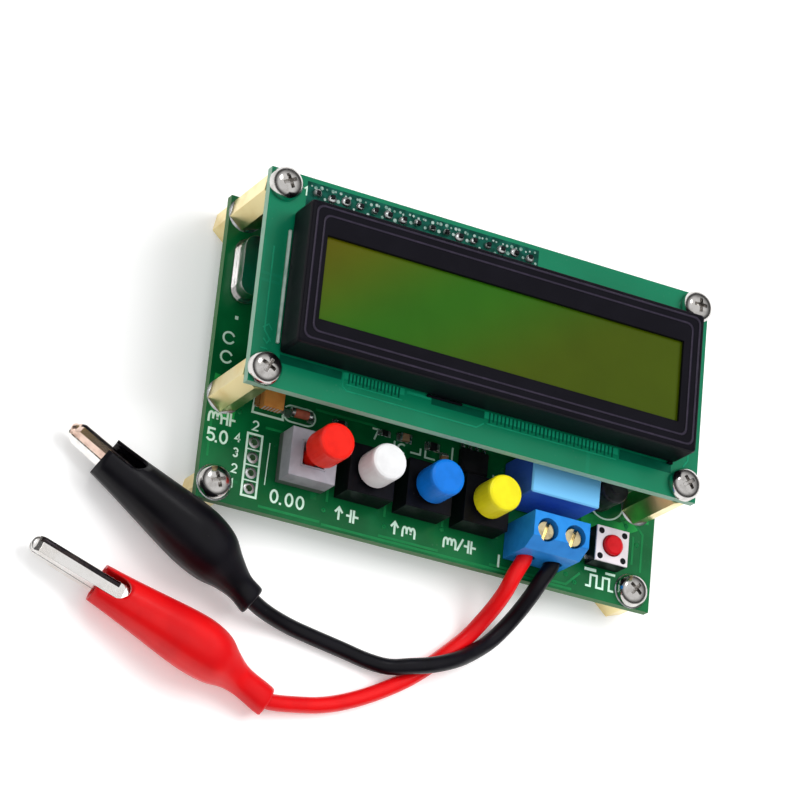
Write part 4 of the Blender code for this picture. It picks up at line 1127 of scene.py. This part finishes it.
def makeBezelDetail():
    # two stamped ribs round the frame, coloured paler than the frame as painted highlight, two small dark blocks
    # in front, and the backlight's edge at the left
    low, high = boxOf("display_bezel")
    wide, tall = bezelSet["ribWidth"], bezelSet["ribHeight"]
    bm = bmesh.new()
    for inset in bezelSet["ribs"]:
        rings = []
        for grow, z in ((0, -0.02), (0, tall * 0.5), (wide * 0.3, tall), (wide * 0.7, tall),
                        (wide, tall * 0.5), (wide, -0.02)):
            ring = []
            for sx, sy, start in ((1, 1, 0), (-1, 1, 90), (-1, -1, 180), (1, -1, 270)):
                edge = inset + grow
                corner = 1.2 - grow * 0.5
                middle = Vector(((high.x if sx > 0 else low.x) - sx * (edge + corner),
                                 (high.y if sy > 0 else low.y) - sy * (edge + corner), high.z + z))
                for step in range(5):
                    a = math.radians(start + 22.5 * step)
                    ring.append(bm.verts.new(middle + Vector((math.cos(a), math.sin(a), 0)) * corner))
            rings.append(ring)
        skin(bm, rings, looped=True)
    keepMesh("bezelRibs", bm, "ribHighlightSteel", smooth=True)
    # two small dark blocks at the frame's front edge, in the frame's black
    bm = bmesh.new()
    addBox(bm, (-10.2, low.y - 0.32, displayTop + 0.01),
           (-3.9, low.y + 0.1, displayTop + 0.45))
    addBox(bm, (high.x - 1.4, low.y - 0.3, displayTop + 0.01),
           (high.x - 0.4, low.y + 0.1, displayTop + 0.6))
    roundOff(bm, 0.1)
    keepMesh("bezelFrontBlocks", bm, "blackSteel")
    bm = bmesh.new()
    addBox(bm, (low.x - 0.62, -3.7, displayTop + 0.02),
           (low.x - 0.12, 15.3, displayTop + 0.5))
    roundOff(bm, 0.08)
    keepMesh("backlightEdge", bm, "edgeStrip")


screwSet = {"rows": [(1.0, 0.0), (1.0, 0.16), (0.985, 0.34), (0.93, 0.56), (0.82, 0.76), (0.64, 0.90),
                     (0.42, 0.97), (0.2, 1.0)],
            "head": 2.0, "shank": 1.28, "crossLength": 2.9, "crossWidth": 0.62, "crossDepth": 1.25}


def makeScrew(node, under=False, turn=0.0):
    # pan head with a cross recess, in place of the plain one
    low, high = boxOf(node)
    centre, radius = (low + high) / 2, (high.x - low.x) / 2
    sign, seat, far = (-1, low.z + screwSet["head"], high.z) if under else (1, high.z - screwSet["head"], low.z)
    profile = [(screwSet["shank"], far), (screwSet["shank"], seat)]
    profile += [(r * radius, seat + sign * h * screwSet["head"]) for r, h in screwSet["rows"]]
    bm = bmesh.new()
    skin(bm, [ringAt(bm, centre.x, centre.y, z, r, 40) for r, z in profile], capped=True)
    screw = keepMesh(node + "Detail", bm, "nickelPlate")
    bm = bmesh.new()
    tip = seat + sign * screwSet["head"]
    half, thick = screwSet["crossLength"] / 2, screwSet["crossWidth"] / 2
    for quarter in (0, math.pi / 2):
        place = Matrix.Translation((centre.x, centre.y, 0)) @ Matrix.Rotation(turn + quarter, 4, "Z")
        rings = [[bm.verts.new(place @ Vector((x * half * shrink, y * thick * (0.6 + 0.4 * shrink), z)))
                  for x, y in ((-1, -1), (1, -1), (1, 1), (-1, 1))]
                 for z, shrink in ((tip + sign * 0.3, 1.0), (tip - sign * screwSet["crossDepth"], 0.35))]
        skin(bm, rings, capped=True)
    carve(screw, drawMesh("cross", bm), crossed=True)
    screw.data.shade_smooth()
    screw.data.set_sharp_from_angle(angle=math.radians(34))
    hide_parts(node)


jawPieces = [(name, side, body, part) for name in ("black", "red")
             for side, body, part in ((1, name + "_jaw", "Upper"), (-1, "meter", "Lower"))]


def makeJawTeeth():
    # fine saw teeth along the lips of both jaws
    for name, side, body, part in jawPieces:
        place = clipMatrix(clipSet[name], rolled=True)
        bm = bmesh.new()
        for y in (-1.1, 1.1):
            for i in range(6):
                x = 0.7 + 0.7 * i
                skin(bm, [[bm.verts.new(place @ Vector((x + along, y + across, side * up)))
                           for along, up in ((0, 0.12), (0.6, 0.12), (0.3, 0.02))] for across in (-0.18, 0.18)],
                     capped=True)
        keepMesh(name + "Teeth" + part, bm, "jawPlate", body)


def jawTop(x):
    # height of a jaw's back above the bite, by distance from the nose
    rows = ((0.0, 0.8), (0.8, 1.3), (12.0, 1.6), (15.0, 1.8))
    for (x0, z0), (x1, z1) in zip(rows, rows[1:]):
        if x <= x1:
            return z0 + (z1 - z0) * (x - x0) / (x1 - x0)
    return rows[-1][1]


jawSet = {"noseRadius": 1.2, "shadedSeamWidth": 0.85, "shadedSeamSide": 0.84, "shadedSeamEnd": 14.0}


def makeJawDetail():
    # a rounded nose on each jaw, and the rolled seam along the back of the moving one, coloured dark as painted
    # shade
    radius = jawSet["noseRadius"]
    for name, side, body, part in jawPieces:
        place = clipMatrix(clipSet[name], rolled=True)
        bm = bmesh.new()
        rings = [[bm.verts.new(place @ Vector((0.12 - radius * shrink * 0.75 * math.sin(a),
                                               radius * shrink * math.cos(a), side * z)))
                  for a in (math.pi * i / 12 for i in range(13))]
                 for shrink, z in ((0.8, 0.14), (1.0, 0.3), (1.0, 0.62), (0.82, 0.8), (0.4, 0.88))]
        skin(bm, rings, capped=True)
        keepMesh(name + "Nose" + part, bm, "copperyPlate" if name + part == "blackUpper" else "jawPlate", body,
                 smooth=True)
    # the seam's dark colour is painted shade
    y, half = jawSet["shadedSeamSide"], jawSet["shadedSeamWidth"] / 2
    for name in ("black", "red"):
        place = clipMatrix(clipSet[name], rolled=True)
        bm = bmesh.new()
        skin(bm, [[bm.verts.new(place @ Vector((x, y + across, jawTop(x) + up)))
                   for across, up in ((-half, 0.0), (-half * 0.6, 0.1), (half * 0.6, 0.1), (half, 0.0))]
                  for x in (0.3, 0.8, 4.0, 8.0, 12.0, jawSet["shadedSeamEnd"])], capped=True)
        keepMesh(name + "Seam", bm, "jawShadow", name + "_jaw", smooth=True)


makeFunctionRivets()
makeSwitchLegs()
makeSwitchRims()
makeUsbInside()
makeChips()
makeBezelDetail()
for count, corner in enumerate(("rear_left", "rear_right", "middle_left", "middle_right")):
    makeScrew("display_screw_" + corner, turn=0.5 + 1.1 * count)
makeScrew("board_screw_front_left", turn=0.35)
makeScrew("board_screw_front_right", turn=0.9)
makeScrew("under_screw_middle_left", under=True, turn=0.2)
makeScrew("under_screw_middle_right", under=True, turn=0.7)
makeJawTeeth()
makeJawDetail()
print("parts detailed")


# Clip sleeves

sleeveSet = {
    # share of the way from mouth to tail, half width, half height, drop; millimetres
    "shape": [(0.0, 3.6, 3.5, 0.0), (0.15, 3.95, 3.95, 0.0), (0.35, 4.5, 4.9, 0.0), (0.55, 5.1, 5.75, 0.0),
              (0.68, 5.2, 5.95, -0.1), (0.8, 4.7, 5.2, -0.55), (0.9, 3.4, 3.7, -1.5), (1.0, 2.5, 2.6, -2.7)],
    "wall": 0.5,
    "ridge": 0.12,
    "sides": 48,
    "notchHalf": 1.8,
}


def sleeveRows(clip):
    girth = clip["girth"]
    rows = [Vector((clip["mouth"] + (clip["tail"] - clip["mouth"]) * t, max(2.35, w * girth),
                    max(2.4, h * girth), d)) for t, w, h, d in sleeveSet["shape"]]
    end = clip["collar"]
    rows.append(Vector((clip["tail"] + end, 2.4, 2.4, -2.7 - 0.33 * end)))
    rows.append(Vector((clip["tail"] + end + 0.45, 1.95, 1.95, -2.7 - 0.33 * (end + 0.45))))
    ends = [2 * rows[0] - rows[1], *rows, 2 * rows[-1] - rows[-2]]
    smooth = []
    for a, b, c, d in zip(ends, ends[1:], ends[2:], ends[3:]):
        for step in range(4):
            t = step / 4
            smooth.append(0.5 * (2 * b + (c - a) * t + (2 * a - 5 * b + 4 * c - d) * t ** 2
                                 + (3 * b - a - 3 * c + d) * t ** 3))
    return [*smooth, rows[-1]]


def makeSleeve(name):
    clip = clipSet[name]
    place = clipMatrix(clip)
    sides = sleeveSet["sides"]
    ridges = (0, sides // 2)  # mould lines along both flanks
    bm = bmesh.new()
    rings = []
    for x, wide, high, drop in sleeveRows(clip):
        turns = [2 * math.pi * i / sides for i in range(sides)]
        rings.append([bm.verts.new(place @ Vector((
            x, (wide + (sleeveSet["ridge"] if i in ridges else 0)) * math.cos(a), drop + high * math.sin(a))))
            for i, a in enumerate(turns)])
    skin(bm, rings)
    sleeve = drawMesh(name + "Sleeve", bm)
    sleeve.data.shade_smooth()
    sleeve.data.materials.append(looks[name + "Vinyl"])
    wall = sleeve.modifiers.new("wall", "SOLIDIFY")
    wall.thickness = sleeveSet["wall"] * mm
    wall.offset = -1
    carve(sleeve, makeNotch(name, clip))
    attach(sleeve, "meter")
    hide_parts(name + "_clip_boot")
    return sleeve


def makeNotch(name, clip):
    # the opening over the moving jaw, round at its end
    place = clipMatrix(clip, rolled=True)
    half = sleeveSet["notchHalf"]
    middle = clip["mouth"] + clip["notch"] - half
    outline = [(clip["mouth"] - 2, -half),
               *((middle + half * math.sin(math.radians(a)), -half * math.cos(math.radians(a)))
                 for a in range(0, 181, 15)),
               (clip["mouth"] - 2, half)]
    bm = bmesh.new()
    skin(bm, [[bm.verts.new(place @ Vector((x, y, z))) for x, y in outline] for z in (0.9, 8.0)], capped=True)
    return drawMesh(name + "Notch", bm)


for name in ("black", "red"):
    sleeve = makeSleeve(name)
print("sleeves and leads made")


# Floor and light

lightSet = {
    "sky": [(-1.0, 0.20), (0.0, 0.16), (0.38, 0.08), (0.6, 0.5), (0.8, 1.0), (1.0, 0.95)],
    "worldStrength": 0.85,
    "key": {"place": (0.42, 0.16, 0.66), "size": 0.55, "power": 4.4, "gloss": False},
    "fill": {"place": (-0.42, -0.40, 0.62), "size": 0.5, "power": 1.0, "gloss": False},
    "shine": {"place": (-0.22, 0.40, 0.70), "size": 0.22, "power": 0.55, "gloss": True},
}


def makeFloor():
    bm = bmesh.new()
    bmesh.ops.create_circle(bm, cap_ends=True, segments=64, radius=3 / mm)
    floor = drawMesh("floor", bm)
    made, tree, shader = startMaterial("floorPaint", 0.7)
    shader.inputs["Base Color"].default_value = (0.92, 0.92, 0.92, 1)
    shader.inputs["Emission Color"].default_value = (1, 1, 1, 1)
    shader.inputs["Emission Strength"].default_value = 0.22
    floor.data.materials.append(made)


def makeWorld():
    world = bpy.data.worlds.new("studio")
    bpy.context.scene.world = world
    world.use_nodes = True
    tree = world.node_tree
    back = tree.nodes["Background"]
    place = addNode(tree, "ShaderNodeTexCoord")
    parts = addNode(tree, "ShaderNodeSeparateXYZ", {"Vector": place.outputs["Generated"]})
    ramp = addNode(tree, "ShaderNodeValToRGB", {"Fac": ranged(tree, parts.outputs["Z"], -1.0, 1.0)})
    fillRamp(ramp, [((height + 1) / 2, (grey, grey, grey)) for height, grey in lightSet["sky"]])
    tree.links.new(ramp.outputs["Color"], back.inputs["Color"])
    back.inputs["Strength"].default_value = lightSet["worldStrength"]


def makeLight(name):
    # a lamp without gloss lights the surfaces but isn't mirrored in them
    facts = lightSet[name]
    data = bpy.data.lights.new(name, "AREA")
    data.size = facts["size"]
    data.energy = facts["power"]
    light = bpy.data.objects.new(name, data)
    light.visible_glossy = facts["gloss"]
    light.location = facts["place"]
    light.rotation_euler = (-Vector(facts["place"])).to_track_quat("-Z", "Y").to_euler()
    bpy.context.scene.collection.objects.link(light)


makeFloor()
makeWorld()
makeLight("key")
makeLight("fill")
makeLight("shine")
bpy.context.scene.view_settings.view_transform = "Standard"
print("lights placed")

bpy.context.view_layer.update()
